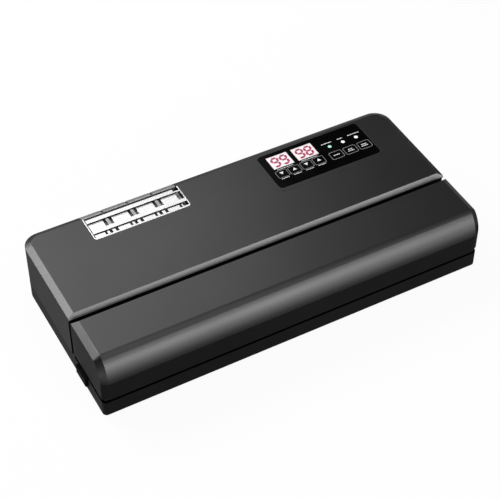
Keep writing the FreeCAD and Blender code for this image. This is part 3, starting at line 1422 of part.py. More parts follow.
def pieces():
    made = {
        "base_housing": base_housing(),
        "rubber_feet": rubber_feet(),
        "rear_cover": rear_cover(),
        "vent_grille": vent_grille(),
        "control_panel": control_panel(),
        "indicator_lenses": indicator_lenses(),
        "display_board": display_board(),
        "key_switches": key_switches(),
        **deck_parts(),
        "channel_tray": channel_tray(),
        "lower_gasket": lower_gasket(),
        "heater_bar": heater_bar(),
        "heating_strip": heating_strip(),
        "heater_tape": heater_tape(),
        "heater_terminals": heater_terminals(),
        "lid_shell": lid_shell(),
        "lid_liner": lid_liner(),
        "upper_gasket": upper_gasket(),
        "press_strip": press_strip(),
        "hinge_pin_left": hinge_pin(-POST_X),
        "hinge_pin_right": hinge_pin(POST_X),
        "release_button_right": release_button(),
        "release_button_left": mirrored(release_button()),
        "button_spring_right": button_spring(),
        "button_spring_left": mirrored(button_spring()),
        "pump_motor": pump_motor(),
        "pump_head": pump_head(),
        "pump_shaft": pump_shaft(),
        "pump_bracket": pump_bracket(),
        "suction_nozzle": channel_nozzle(SUCTION_X),
        "vent_nozzle": channel_nozzle(VALVE_X),
        "vacuum_hose": vacuum_hose(),
        "vent_hose": vent_hose(),
        "valve_body": valve_body(),
        "valve_plunger": valve_plunger(),
        "transformer_core": transformer_core(),
        "transformer_coil": transformer_coil(),
        "power_board": power_board(),
        "board_components": board_components(),
        "inlet_socket": inlet_socket(),
        "inlet_pins": inlet_pins(),
        "housing_screws": housing_screws(),
        "inner_screws": inner_screws(),
        "liner_screws": liner_screws(),
    }
    for name, (x, y) in zip(("display_left", "display_right"), display_places()):
        made[name] = display(x, y)
    for name, x, y, length, width in key_places():
        made[name] = key(x, y, length, width)
    return made


for name, shape in pieces().items():
    shape.exportStep("parts/" + name + ".step")
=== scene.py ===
"""Looks of a countertop vacuum sealer: finishes, panel print, soft parts, screws, camera and light."""

import json
import math

import bmesh
import bpy
from mathutils import Matrix, Vector


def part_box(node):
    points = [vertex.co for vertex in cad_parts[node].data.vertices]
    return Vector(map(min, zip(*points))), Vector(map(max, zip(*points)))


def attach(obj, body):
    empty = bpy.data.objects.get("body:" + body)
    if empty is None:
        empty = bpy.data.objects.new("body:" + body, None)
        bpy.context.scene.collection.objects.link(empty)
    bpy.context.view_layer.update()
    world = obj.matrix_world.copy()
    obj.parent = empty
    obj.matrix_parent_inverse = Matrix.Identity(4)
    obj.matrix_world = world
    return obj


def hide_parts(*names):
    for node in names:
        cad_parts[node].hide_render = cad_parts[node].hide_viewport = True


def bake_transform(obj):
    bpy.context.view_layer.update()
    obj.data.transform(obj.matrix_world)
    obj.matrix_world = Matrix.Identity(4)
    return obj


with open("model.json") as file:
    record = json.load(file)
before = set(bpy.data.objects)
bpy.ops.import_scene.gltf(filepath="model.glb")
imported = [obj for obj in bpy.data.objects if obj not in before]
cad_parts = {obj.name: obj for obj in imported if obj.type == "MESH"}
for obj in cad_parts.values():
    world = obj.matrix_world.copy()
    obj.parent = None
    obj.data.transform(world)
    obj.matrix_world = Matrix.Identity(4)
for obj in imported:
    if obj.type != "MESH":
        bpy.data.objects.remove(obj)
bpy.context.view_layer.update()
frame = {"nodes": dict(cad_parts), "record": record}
nodes = frame["nodes"]
MM = 0.001


# Materials

FADE = 0.1 * MM             # width over which one finish turns into the next


class Look:
    """One procedural material, built node by node."""

    def __init__(self, name, **shader):
        self.mat = bpy.data.materials.new(name)
        self.mat.use_nodes = True
        self.tree = self.mat.node_tree
        self.shader = self.tree.nodes["Principled BSDF"]
        self.coords = self.add("ShaderNodeTexCoord")
        for socket, value in shader.items():
            self.shader.inputs[socket.replace("_", " ")].default_value = value

    def add(self, kind, **settings):
        node = self.tree.nodes.new(kind)
        for key, value in settings.items():
            setattr(node, key, value)
        return node

    def link(self, source, target):
        self.tree.links.new(source, target)

    def place(self, stretch=(1, 1, 1)):
        mapping = self.add("ShaderNodeMapping")
        mapping.inputs["Scale"].default_value = stretch
        self.link(self.coords.outputs["Object"], mapping.inputs["Vector"])
        return mapping.outputs["Vector"]

    def noise(self, scale, detail=2.0, stretch=(1, 1, 1)):
        node = self.add("ShaderNodeTexNoise")
        node.inputs["Scale"].default_value = scale
        node.inputs["Detail"].default_value = detail
        self.link(self.place(stretch), node.inputs["Vector"])
        return node.outputs["Fac"]

    def cells(self, scale):
        node = self.add("ShaderNodeTexVoronoi")
        node.inputs["Scale"].default_value = scale
        self.link(self.place(), node.inputs["Vector"])
        return node.outputs["Distance"]

    def waves(self, axis, scale, distortion=0.0):
        node = self.add("ShaderNodeTexWave", bands_direction=axis)
        node.inputs["Scale"].default_value = scale
        node.inputs["Distortion"].default_value = distortion
        self.link(self.place(), node.inputs["Vector"])
        return node.outputs["Fac"]

    def weave(self, scale):
        """Threads that cross: 1 where two lie over each other."""
        return self.combine(self.waves("X", scale, 0.6), self.waves("Y", scale, 0.6), "MULTIPLY")

    def combine(self, a, b, operation="ADD"):
        """Two numbers or sockets, put through one step of arithmetic."""
        node = self.add("ShaderNodeMath", operation=operation)
        for socket, value in zip(node.inputs, (a, b)):
            if isinstance(value, (int, float)):
                socket.default_value = value
            else:
                self.link(value, socket)
        return node.outputs["Value"]

    def spread(self, fac, low, high, start=0.3, end=0.7):
        """Fac from start to end, as a number from low to high."""
        node = self.add("ShaderNodeMapRange")
        self.link(fac, node.inputs["Value"])
        for socket, value in zip(("From Min", "From Max", "To Min", "To Max"), (start, end, low, high)):
            node.inputs[socket].default_value = value
        return node.outputs["Result"]

    def tint(self, fac, a, b):
        """Colour a where fac is 0 and b where it is 1; either may be a colour or a socket."""
        node = self.add("ShaderNodeMix", data_type="RGBA")
        self.link(fac, node.inputs[0])
        for index, value in ((6, a), (7, b)):
            if isinstance(value, tuple):
                node.inputs[index].default_value = (*value, 1.0)
            else:
                self.link(value, node.inputs[index])
        return node.outputs[2]

    def rounded(self, radius):
        """Normal that rounds the edges by the radius."""
        node = self.add("ShaderNodeBevel", samples=4)
        node.inputs["Radius"].default_value = radius
        return node.outputs["Normal"]

    def edges(self, soft):
        """1 along the edges that the soft normal rounds, 0 elsewhere."""
        geometry = self.add("ShaderNodeNewGeometry")
        dot = self.add("ShaderNodeVectorMath", operation="DOT_PRODUCT")
        self.link(soft, dot.inputs[0])
        self.link(geometry.outputs["True Normal"], dot.inputs[1])
        return self.spread(dot.outputs["Value"], 1.0, 0.0, 0.80, 0.99)

    def split(self, source):
        """X, Y and Z of each point's place ("Object") or normal ("Normal"), in the piece's frame."""
        node = self.add("ShaderNodeSeparateXYZ")
        self.link(self.coords.outputs[source], node.inputs["Vector"])
        return node.outputs

    def lean(self):
        """0 on upright walls, up to 1 on faces that look straight up or down."""
        node = self.add("ShaderNodeMath", operation="ABSOLUTE")
        self.link(self.split("Normal")["Z"], node.inputs[0])
        return node.outputs["Value"]

    def by_side(self, top, left, front, bevel, far):
        """A level for each side that a face looks to: the top and the underside, the left and front walls,
        the bevels to the right and rear, and the far walls below those."""
        normal = self.split("Normal")
        to_left = self.spread(normal["X"], left - front, 0.0, -0.9, -0.3)
        rise = self.spread(self.lean(), 0.0, top - front, 0.0, 0.32)
        level = self.combine(self.combine(rise, front), to_left)
        below = far - front + top - bevel
        for axis in ("X", "Y"):
            level = self.combine(level, self.spread(normal[axis], 0.0, bevel - top, 0.2, 0.45))
            level = self.combine(level, self.spread(normal[axis], 0.0, below, 0.6, 0.95))
        return self.combine(level, 0.01, "MAXIMUM")

    def along(self, axis, place, run):
        """0 before a place on an axis and 1 past it, changing over the run; a negative run turns it round."""
        start, end = sorted((place, place + run))
        levels = (0.0, 1.0) if run > 0 else (1.0, 0.0)
        return self.spread(self.split("Object")[axis], *levels, start, end)

    def within(self, *ranges):
        """1 where each value lies in its range, and 0 elsewhere."""
        mask = 1.0
        for value, (start, end) in ranges:
            mask = self.combine(self.spread(value, 0.0, 1.0, start, start + FADE), mask, "MULTIPLY")
            mask = self.combine(self.spread(value, 1.0, 0.0, end, end + FADE), mask, "MULTIPLY")
        return mask

    def facing(self, direction):
        """1 on flat faces that look in the direction, and 0 a few degrees off it."""
        dot = self.add("ShaderNodeVectorMath", operation="DOT_PRODUCT")
        self.link(self.coords.outputs["Normal"], dot.inputs[0])
        dot.inputs[1].default_value = Vector(direction).normalized()
        return self.spread(dot.outputs["Value"], 0.0, 1.0, 0.985, 0.998)

    def bumps(self, height, distance, strength, normal=None):
        node = self.add("ShaderNodeBump")
        node.inputs["Strength"].default_value = strength
        node.inputs["Distance"].default_value = distance
        self.link(height, node.inputs["Height"])
        if normal is not None:
            self.link(normal, node.inputs["Normal"])
        self.link(node.outputs["Normal"], self.shader.inputs["Normal"])

    def colour(self, socket):
        self.link(socket, self.shader.inputs["Base Color"])

    def rough(self, socket):
        self.link(socket, self.shader.inputs["Roughness"])

    def specular(self, socket):
        self.link(socket, self.shader.inputs["Specular IOR Level"])

    def orange_peel(self):
        """The faint waviness of polished plastic."""
        self.bumps(self.noise(320.0, 1.0), 0.04 * MM, 0.08, self.rounded(0.3 * MM))


def shade(rgb, factor):
    return tuple(min(1.0, channel * factor) for channel in rgb)


def moulded(name, rgb, rough, grain=2600.0, depth=0.04 * MM, edge=0.5 * MM, wall_rough=None, specular=0.5,
            wear=1.6, sides=None, pale=None, seam_shade=None):
    """Injection-moulded plastic: fine grain, slight clouding, polished edges and coarser upright walls.

    Sides gives the specular level by the side that a face looks to, as in Look.by_side. Pale names a
    direction and a colour for a painted highlight: faces that look that way are painted the paler colour. A
    height and a depth give a painted shade: above that height, and in front of that depth, the plastic is
    painted quite black and made matt."""
    look = Look(name, Specular_IOR_Level=specular)
    cloud = look.noise(28.0, 3.0)
    soft = look.rounded(edge)
    body = look.tint(look.spread(cloud, 0.0, 1.0), shade(rgb, 0.9), shade(rgb, 1.1))
    # painted highlight: faces that look the given way are painted a paler colour
    if pale:
        direction, highlight_colour = pale
        body = look.tint(look.facing(direction), body, highlight_colour)
    body = look.tint(look.edges(soft), body, shade(rgb, wear))
    # painted shade: a band painted quite black, with its specular level cut, at the top and front of the
    # piece
    if seam_shade:
        height, front = seam_shade
        run = 4 * FADE
        matt = look.combine(look.along("Z", height, run), look.along("Y", front, -run), "MULTIPLY")
        body = look.tint(matt, body, shade(rgb, 0.15))
    look.colour(body)
    smear = look.spread(look.noise(9.0, 4.0), -0.03, 0.03)
    if wall_rough is None:
        level = rough
    else:
        level = look.spread(look.lean(), wall_rough, rough, 0.12, 0.62)
    look.rough(look.combine(smear, level))
    if sides:
        shine = look.by_side(specular, *sides)
        if seam_shade:
            shine = look.combine(shine, look.spread(matt, 1.0, 0.02, 0.0, 1.0), "MULTIPLY")
        look.specular(shine)
    look.bumps(look.noise(grain, 2.0), depth, 0.3, soft)
    return look.mat


def glossy(name, rgb, rough, specular=0.5):
    """Polished plastic with faint orange peel and a few fine smears."""
    look = Look(name, Specular_IOR_Level=specular)
    look.colour(look.tint(look.noise(60.0, 3.0), shade(rgb, 0.85), shade(rgb, 1.15)))
    look.rough(look.spread(look.noise(45.0, 5.0), rough * 0.6, rough * 1.8))
    look.orange_peel()
    return look.mat


PANEL_BARE = 4.4 * MM       # strip of the plate in front of the film
FILM_R = 4.0 * MM           # corners of the film


def panel_look(film, plate, rough, plate_rough, specular, plate_specular):
    """Gloss film with round corners on a plate of the housing's plastic, short of the plate's front edge."""
    look = Look("panel_gloss")
    low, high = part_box("control_panel")
    low = low + Vector((0, PANEL_BARE, 0))
    reach = (high - low) / 2 - Vector((FILM_R, FILM_R, 0))
    spot = look.coords.outputs["Object"]
    for operation, value in (("SUBTRACT", (low + high) / 2), ("ABSOLUTE", None), ("SUBTRACT", reach),
                             ("MAXIMUM", (0, 0, 0)), ("MULTIPLY", (1, 1, 0)), ("LENGTH", None)):
        node = look.add("ShaderNodeVectorMath", operation=operation)
        look.link(spot, node.inputs[0])
        if value is not None:
            node.inputs[1].default_value = value
        spot = node.outputs["Value" if operation == "LENGTH" else "Vector"]
    bare = look.spread(spot, 0.0, 1.0, FILM_R, FILM_R + FADE)
    cloud = look.tint(look.noise(60.0, 3.0), shade(film, 0.85), shade(film, 1.15))
    look.colour(look.tint(bare, cloud, plate))
    smears = look.spread(look.noise(45.0, 5.0), rough * 0.6, rough * 1.8)
    smears = look.combine(smears, look.spread(bare, 1.0, 0.0, 0.0, 1.0), "MULTIPLY")
    look.rough(look.combine(smears, look.spread(bare, 0.0, plate_rough, 0.0, 1.0)))
    look.specular(look.spread(bare, specular, plate_specular, 0.0, 1.0))
    look.orange_peel()
    return look.mat


def metal(name, rgb, rough, stretch=(1, 1, 1)):
    """Plated or drawn metal; the stretch runs the grain along one axis."""
    look = Look(name, Metallic=1.0)
    streak = look.noise(900.0, 3.0, stretch)
    look.colour(look.tint(look.noise(40.0, 2.0), shade(rgb, 0.92), shade(rgb, 1.06)))
    look.rough(look.spread(streak, rough * 0.8, rough * 1.3))
    look.bumps(streak, 0.03 * MM, 0.15, look.rounded(0.3 * MM))
    return look.mat


def rubber(name, rgb, rough, cells=None):
    """Matt rubber with a dusty bloom; with cells it has the open skin of foam."""
    look = Look(name, Specular_IOR_Level=0.3)
    bloom = look.noise(120.0, 5.0)
    look.colour(look.tint(look.spread(bloom, 0.0, 1.0), shade(rgb, 0.8), shade(rgb, 1.3)))
    look.rough(look.spread(bloom, rough - 0.06, rough + 0.06))
    if cells:
        look.bumps(look.cells(cells), 0.25 * MM, 0.5)
    else:
        look.bumps(look.noise(1500.0, 3.0), 0.05 * MM, 0.35)
    return look.mat


def lit(name, rgb, glow, strength, rough=0.3):
    """Pale diffuser that is lit from behind, a little unevenly."""
    look = Look(name)
    uneven = look.noise(90.0, 2.0)
    look.colour(look.tint(uneven, shade(rgb, 0.95), rgb))
    look.link(look.tint(uneven, shade(glow, 0.94), glow), look.shader.inputs["Emission Color"])
    look.shader.inputs["Emission Strength"].default_value = strength
    look.rough(look.spread(uneven, rough * 0.8, rough * 1.2))
    look.bumps(look.noise(2000.0, 1.0), 0.02 * MM, 0.1)
    return look.mat


def lens_look():
    """Frosted lens caps: the left one lit pale green, the other two white."""
    look = Look("lens_clear")
    low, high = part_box("indicator_lenses")
    first = low.x + (high.x - low.x) * 0.25
    side = look.along("X", first, MM)
    frost = look.noise(900.0, 2.0)
    tone = look.tint(side, (0.42, 0.72, 0.55), (0.92, 0.93, 0.92))
    look.colour(tone)
    look.link(tone, look.shader.inputs["Emission Color"])
    look.shader.inputs["Emission Strength"].default_value = 0.2
    look.rough(look.spread(frost, 0.2, 0.4))
    look.bumps(frost, 0.03 * MM, 0.2)
    return look.mat


VENT_FRAME = 1.0 * MM
VENT_BAR = 7.2 * MM         # solid bar behind the louvres, from the rear wall
VENT_CELL = 0.264           # share of the louvred field from rib to rib
VENT_LIP = (0.50 * MM, 0.465 * MM)              # depths under the crown over which each louvre's low rear edge is painted darker, a painted shade
VENT_SCORE = 0.9 * MM                           # half the width of the dark score painted across the bar at each rib, a painted shade
VENT_PAINTED_SLOT = (6.5 * MM, 8.7 * MM)                # dark slot painted to the left of each rib, a painted shade with no opening under it
VENT_PAINTED_SLOT_ROW = (1.1 * MM, 5.5 * MM)            # and from the front of the field
VENT_TONGUE = (-1.0 * MM, 1.5 * MM)             # tongue in the middle row, painted grey as painted shade, from the middle of its rib
VENT_TONGUE_ROW = (11.7 * MM, 20.6 * MM)        # and from the front of the field


def vent_look():
    """Bright plating, with painted shade: upright faces are painted dark between the louvres and grey in the
    bar, each louvre is painted darker along its low rear edge, the tongues of the middle row are painted
    grey, and a dark slot is painted beside each pair in the front row. The bar behind the louvres, which
    falls over the bevel, and faces that look to the rear are painted grey, with a dark score painted at each
    rib; the faces that look to the rear are also rougher."""
    look = Look("vent_chrome", Metallic=1.0)
    low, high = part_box("vent_grille")
    streak = look.noise(300.0, 3.0)
    normal = look.split("Normal")
    flank = look.spread(normal["Y"], 0.0, 1.0, 0.15, 0.4)
    face = look.spread(normal["Z"], 0.0, 1.0, 0.3, 0.7)
    spot = look.split("Object")
    bar = look.along("Y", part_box("rear_cover")[1].y - VENT_BAR, FADE)
    cell = (high.x - low.x - 2 * VENT_FRAME) * VENT_CELL
    from_right = look.combine(high.x - VENT_FRAME, spot["X"], "SUBTRACT")
    from_front = look.combine(spot["Y"], low.y + VENT_FRAME, "SUBTRACT")
    from_rib = look.combine(from_right, cell / 2, "PINGPONG")
    left_of_rib = look.combine(from_right, cell, "MODULO")
    past_end = (cell / 2, 1.0)

    plate = look.tint(look.noise(40.0, 2.0), (0.72, 0.72, 0.73), (0.80, 0.80, 0.81))
    # painted shade: each louvre is painted darker along its low rear edge
    lip_shade = look.spread(spot["Z"], 1.0, 0.0, *(high.z - deep for deep in VENT_LIP))
    plate = look.tint(lip_shade, plate, (0.10, 0.10, 0.10))
    # painted shade: a dark slot painted in the front row where there is no opening
    mark = look.within((left_of_rib, VENT_PAINTED_SLOT), (from_front, VENT_PAINTED_SLOT_ROW))
    plate = look.tint(mark, plate, (0.03, 0.03, 0.03))
    # painted shade: the tongues of the middle row painted grey
    tongue_shade = look.within((from_rib, VENT_TONGUE), (from_front, VENT_TONGUE_ROW), (from_right, past_end))
    plate = look.tint(tongue_shade, plate, (0.34, 0.34, 0.35))
    # painted shade: a dark score painted across the bar at each rib
    score_shade = look.combine(look.spread(from_rib, 1.0, 0.0, VENT_SCORE, VENT_SCORE + FADE), bar, "MULTIPLY")
    # painted shade: faces that look to the rear, and the bar over the bevel, painted grey
    shaded_plate = look.tint(look.combine(flank, bar, "MAXIMUM"), plate, (0.30, 0.30, 0.31))
    shaded_plate = look.tint(score_shade, shaded_plate, (0.04, 0.04, 0.04))
    # painted shade: upright faces painted dark in the louvred field and grey in the bar
    inside = look.tint(bar, (0.12, 0.12, 0.12), (0.5, 0.5, 0.5))
    look.colour(look.tint(face, inside, shaded_plate))
    look.rough(look.combine(look.spread(streak, 0.36, 0.46), look.spread(flank, 0.0, 0.1, 0.0, 1.0)))
    look.bumps(streak, 0.03 * MM, 0.05, look.rounded(0.3 * MM))
    return look.mat


def tape_look():
    """Coated glass cloth: a fine plain weave, browned a little along the middle."""
    look = Look("heater_tape", Specular_IOR_Level=0.4)
    threads = look.weave(700.0)
    brown = look.noise(25.0, 4.0, (0.2, 1, 1))
    base = look.tint(look.spread(brown, 0.0, 1.0), (0.40, 0.27, 0.14), (0.56, 0.42, 0.25))
    look.colour(look.tint(threads, shade((0.40, 0.28, 0.15), 0.8), base))
    look.rough(look.spread(threads, 0.62, 0.42, 0.0, 1.0))
    look.bumps(threads, 0.05 * MM, 0.4)
    return look.mat


def board_look():
    """Solder mask with darker copper fill showing through."""
    look = Look("board_green", Specular_IOR_Level=0.5)
    copper = look.spread(look.cells(160.0), 0.0, 1.0, 0.25, 0.35)
    look.colour(look.tint(copper, (0.04, 0.2, 0.08), (0.06, 0.28, 0.12)))
    look.rough(look.spread(look.noise(60.0), 0.3, 0.45))
    look.bumps(copper, 0.03 * MM, 0.4)
    return look.mat


def coil_look():
    """Enamelled copper wire, wound turn by turn."""
    look = Look("coil_copper", Metallic=1.0)
    turns = look.waves("Z", 500.0)
    # painted shade: the copper is painted darker in the grooves between turns, where the bumps sink
    look.colour(look.tint(turns, (0.36, 0.16, 0.07), (0.72, 0.38, 0.2)))
    look.rough(look.spread(look.noise(80.0), 0.25, 0.4))
    look.bumps(turns, 0.2 * MM, 0.6)
    return look.mat


BLACK = (0.006, 0.006, 0.0063)
HOUSING_ROUGH = 0.36
GLOSS_ROUGH = 0.16
HOUSING = {"wall_rough": 0.62, "specular": 0.68, "sides": (0.12, 0.02, 0.05, 0.5)}
REAR_HALF = {**HOUSING, "specular": 0.63}
FRONT_HALF = {**HOUSING, "sides": (0.05, 0.02, 0.05, 0.5)}
LIP_BEVEL = (0.0, -4.4, 3.1)            # the way that the bevel along the rear housing's lip looks
# paler colour painted on that bevel, a painted highlight that stands in for the light it catches
LIP_PAINTED_HIGHLIGHT = (0.16, 0.16, 0.163)
SEAM_SHADE_BAND = 2.6 * MM                    # height of the band at the top of the base that is painted nearly black and made matt, a painted shade under the hood's edge
PRINT_EDGE = 0.05 * MM
LOOKS = {
    "housing_plastic": moulded("housing_plastic", BLACK, HOUSING_ROUGH, **HOUSING),
    "deck_plastic": moulded("deck_plastic", (0.03, 0.03, 0.032), 0.48, grain=1900.0, depth=0.06 * MM,
                            specular=0.4),
    "button_plastic": moulded("button_plastic", shade(BLACK, 0.6), 0.6, grain=2200.0, specular=0.02,
                              wear=1.2),
    "panel_gloss": panel_look((0.0015, 0.0015, 0.0017), BLACK, GLOSS_ROUGH, HOUSING_ROUGH, 0.04,
                              REAR_HALF["specular"]),
    "key_gloss": glossy("key_gloss", (0.002, 0.002, 0.0022), GLOSS_ROUGH, 0.06),
    "vent_chrome": vent_look(),
    "display_face": lit("display_face", (0.86, 0.78, 0.81), (1.0, 0.86, 0.90), 0.12),
    "lens_clear": lens_look(),
    "board_green": board_look(),
    "component_plastic": moulded("component_plastic", (0.05, 0.05, 0.055), 0.45),
    "gasket_rubber": rubber("gasket_rubber", (0.035, 0.035, 0.037), 0.75, cells=1500.0),
    "press_silicone": rubber("press_silicone", (0.42, 0.09, 0.06), 0.55),
    "foot_rubber": rubber("foot_rubber", (0.02, 0.02, 0.02), 0.8),
    "heater_bakelite": moulded("heater_bakelite", (0.10, 0.055, 0.03), 0.42),
    "heater_ribbon": metal("heater_ribbon", (0.55, 0.54, 0.52), 0.35, (0.02, 1, 1)),
    "heater_tape": tape_look(),
    "terminal_brass": metal("terminal_brass", (0.7, 0.52, 0.24), 0.3),
    "screw_steel": metal("screw_steel", (0.56, 0.56, 0.57), 0.32),
    "motor_steel": metal("motor_steel", (0.55, 0.55, 0.57), 0.34, (0.05, 1, 1)),
    "pump_plastic": moulded("pump_plastic", (0.07, 0.07, 0.075), 0.5),
    "hose_silicone": rubber("hose_silicone", (0.6, 0.6, 0.57), 0.45),
    "core_steel": metal("core_steel", (0.2, 0.2, 0.21), 0.5, (0.05, 0.05, 1.0)),
    "coil_copper": coil_look(),
    "inlet_plastic": moulded("inlet_plastic", (0.018, 0.018, 0.018), 0.5),
}
INK = moulded("print_white", (0.88, 0.88, 0.88), 0.5, edge=PRINT_EDGE)
DIM_INK = moulded("print_grey", (0.34, 0.34, 0.34), 0.5, edge=PRINT_EDGE)
# rear housing, with a painted highlight on the bevel behind the hood
COVER = moulded("housing_painted_highlight", BLACK, HOUSING_ROUGH, pale=(LIP_BEVEL, LIP_PAINTED_HIGHLIGHT), **REAR_HALF)
HOOD = moulded("housing_hood", BLACK, HOUSING_ROUGH, **FRONT_HALF)
# painted shade: a nearly black matt band at the top of the base, under the hood's edge
BASE = moulded("housing_base", BLACK, HOUSING_ROUGH,
               seam_shade=(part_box("base_housing")[1].z - SEAM_SHADE_BAND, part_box("lid_shell")[1].y), **FRONT_HALF)
DIGIT = lit("digit_red", (0.30, 0.03, 0.08), (0.62, 0.06, 0.17), 0.14)


def dress(obj, look):
    obj.data.materials.clear()
    obj.data.materials.append(look)


for piece in frame["record"]["subparts"]:
    dress(nodes[piece["node"]], LOOKS[piece["material_slot"]])
dress(nodes["rear_cover"], COVER)
dress(nodes["base_housing"], BASE)
dress(nodes["lid_shell"], HOOD)


# Mesh helpers; points and sizes from here on are in millimetres

SAME_POINT = 1e-7           # in metres: points of a new mesh that are merged
SAME_CAD_POINT = 1e-6       # the same in a mesh from CAD


def extent(node):
    """Low and high corner of a node, each as x, y and z."""
    return [[value / MM for value in corner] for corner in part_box(node)]


def middle(node):
    """Centre and size of a node."""
    low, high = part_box(node)
    return (low + high) / 2 / MM, (high - low) / MM


def top_of(node):
    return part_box(node)[1].z / MM


def loop(k, count):
    """Indices of the points in loop k, where each loop has the same count."""
    return range(k * count, (k + 1) * count)


def band(faces, a, b):
    """Adds the four-sided faces between two closed loops of points, given by their indices."""
    for i in range(len(a)):
        j = (i + 1) % len(a)
        faces.append([a[i], a[j], b[j], b[i]])


def mesh_piece(name, body, look, verts, faces, smooth=False):
    """A mesh with its look, riding on a body if one is named."""
    mesh = bpy.data.meshes.new(name)
    mesh.from_pydata([Vector(v) * MM for v in verts], [], faces)
    work = bmesh.new()
    work.from_mesh(mesh)
    bmesh.ops.remove_doubles(work, verts=work.verts, dist=SAME_POINT)
    bmesh.ops.recalc_face_normals(work, faces=work.faces)
    for face in work.faces:
        face.smooth = smooth
    work.to_mesh(mesh)
    work.free()
    obj = bpy.data.objects.new(name, mesh)
    bpy.context.collection.objects.link(obj)
    dress(obj, look)
    if body:
        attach(obj, body)
    return obj


def round_rect(cx, cy, dx, dy, r, steps=5):
    """Outline of a rectangle with half sides dx and dy and rounded corners."""
    points = []
    for sx, sy, turn in ((1, 1, 0), (-1, 1, 90), (-1, -1, 180), (1, -1, 270)):
        for i in range(steps + 1):
            angle = math.radians(turn + 90 * i / steps)
            x = cx + sx * (dx - r) + r * math.cos(angle)
            y = cy + sy * (dy - r) + r * math.sin(angle)
            points.append((x, y))
    return points


class Print:
    """Thin raised print: plates and frames gathered into one mesh."""
    THICK = 0.04
    DASHES = (1.5, 1.0, 1.9, 1.2)
    GAP = 0.4

    def __init__(self, z):
        self.z = z
        self.verts = []
        self.faces = []

    def layer(self, points, z):
        start = len(self.verts)
        self.verts += [(x, y, z) for x, y in points]
        return list(range(start, start + len(points)))

    def plate(self, points):
        low = self.layer(points, self.z)
        high = self.layer(points, self.z + self.THICK)
        self.faces.append(high)
        self.faces.append(low[::-1])
        band(self.faces, low, high)

    def frame(self, cx, cy, dx, dy, r, width):
        top = self.z + self.THICK
        loops = []
        for inset, z in ((0, self.z), (0, top), (width, top), (width, self.z)):
            loops.append(self.layer(round_rect(cx, cy, dx - inset, dy - inset, max(r - inset, 0.1)), z))
        for k, outline in enumerate(loops):
            band(self.faces, outline, loops[(k + 1) % len(loops)])

    def bar(self, cx, cy, length, width):
        self.plate(round_rect(cx, cy, length / 2, width / 2, width * 0.3, 2))

    def words(self, cx, cy, length, width):
        """Row of short dashes in place of wording."""
        x = -length / 2
        i = 0
        while length / 2 - x > self.GAP:
            dash = min(self.DASHES[i % len(self.DASHES)], length / 2 - x)
            self.bar(cx + x + dash / 2, cy, dash, width)
            x += dash + self.GAP
            i += 1

    def finish(self, name, body, look):
        return mesh_piece(name, body, look, self.verts, self.faces)


# Print on the control panel, all of it plain bars, arrows and numbers

SEGMENTS = {"a": (0, 2, 1, 2), "b": (1, 2, 1, 1), "c": (1, 1, 1, 0), "d": (0, 0, 1, 0), "e": (0, 1, 0, 0),
            "f": (0, 2, 0, 1), "g": (0, 1, 1, 1)}
NUMERALS = {"8": "abcdefg", "9": "abcdfg"}
DIGIT_W = 6.0
DIGIT_H = 11.4
DIGIT_PITCH = 9.2
STROKE = 2.3
SEGMENT_GAP = 0.25          # at each end of a segment
SLANT = 0.07
LIFT = 0.01                 # of print above what it lies on
KEY_INSET = 0.5             # from the rim of a key to its outline
ARROW_KEY = (1.2, 0.3)      # corner and width of the outline
FUNCTION_KEY = (1.8, 0.35)
ARROW_HALF = 2.1
ARROW_TALL = 1.7
ARROW_RAISE = 0.9           # of the arrow behind the middle of its key
MARK_PITCH = 2.3            # rows of dashes on a key
MARK_W = 0.95
PAIR_WORDS = (17.0, 1.4)    # length of the dashes behind each pair of arrow keys, and their distance
ARROW_WORDS = (8.0, 0.6)    # the same in front of each arrow key
FINE_W = 0.7
LIGHT_WORDS = (11.0, 6.0, 12.5)
LIGHT_WORDS_W = 0.9
LIGHT_WORDS_AT = (-0.5, 5.4)            # from the light to its dashes
LIGHT_INSET = 1.5           # from the ends of the row of lights to where its outer dashes are set out


def segment_outline(code, cx, cy):
    """Six-sided bar of a seven-segment numeral, slanted a little."""
    u0, v0, u1, v1 = SEGMENTS[code]
    half = STROKE / 2
    start = Vector((u0 * DIGIT_W - DIGIT_W / 2, v0 * DIGIT_H / 2 - DIGIT_H / 2))
    end = Vector((u1 * DIGIT_W - DIGIT_W / 2, v1 * DIGIT_H / 2 - DIGIT_H / 2))
    along = (end - start).normalized()
    across = Vector((-along.y, along.x))
    start = start + along * SEGMENT_GAP
    end = end - along * SEGMENT_GAP
    shape = [start, start + along * half - across * half, end - along * half - across * half, end,
             end - along * half + across * half, start + along * half + across * half]
    return [(cx + p.x + SLANT * p.y, cy + p.y) for p in shape]


def display_digits(node, text):
    """Red numerals on the face of a display."""
    centre, _ = middle(node)
    digits = Print(top_of(node) + LIFT)
    for i, numeral in enumerate(text):
        cx = centre.x + (i - (len(text) - 1) / 2) * DIGIT_PITCH
        for code in NUMERALS[numeral]:
            digits.plate(segment_outline(code, cx, centre.y))
    digits.finish("digits_" + node, "base", DIGIT)


def key_outline(node, corner, width):
    """Thin grey frame just inside the rim of a key."""
    centre, size = middle(node)
    edge = Print(top_of(node) + LIFT)
    edge.frame(centre.x, centre.y, size.x / 2 - KEY_INSET, size.y / 2 - KEY_INSET, corner, width)
    edge.finish("outline_" + node, node, DIM_INK)


def arrow_key(node, up):
    """Arrow that points to the rear for up and to the front for down."""
    centre, _ = middle(node)
    sign = 1 if up else -1
    tall = ARROW_TALL * sign
    cy = centre.y + ARROW_RAISE
    points = [(centre.x - ARROW_HALF, cy - tall), (centre.x + ARROW_HALF, cy - tall), (centre.x, cy + tall)]
    marks = Print(top_of(node) + LIFT)
    marks.plate(points[::sign])
    marks.finish("arrow_" + node, node, INK)
    key_outline(node, *ARROW_KEY)


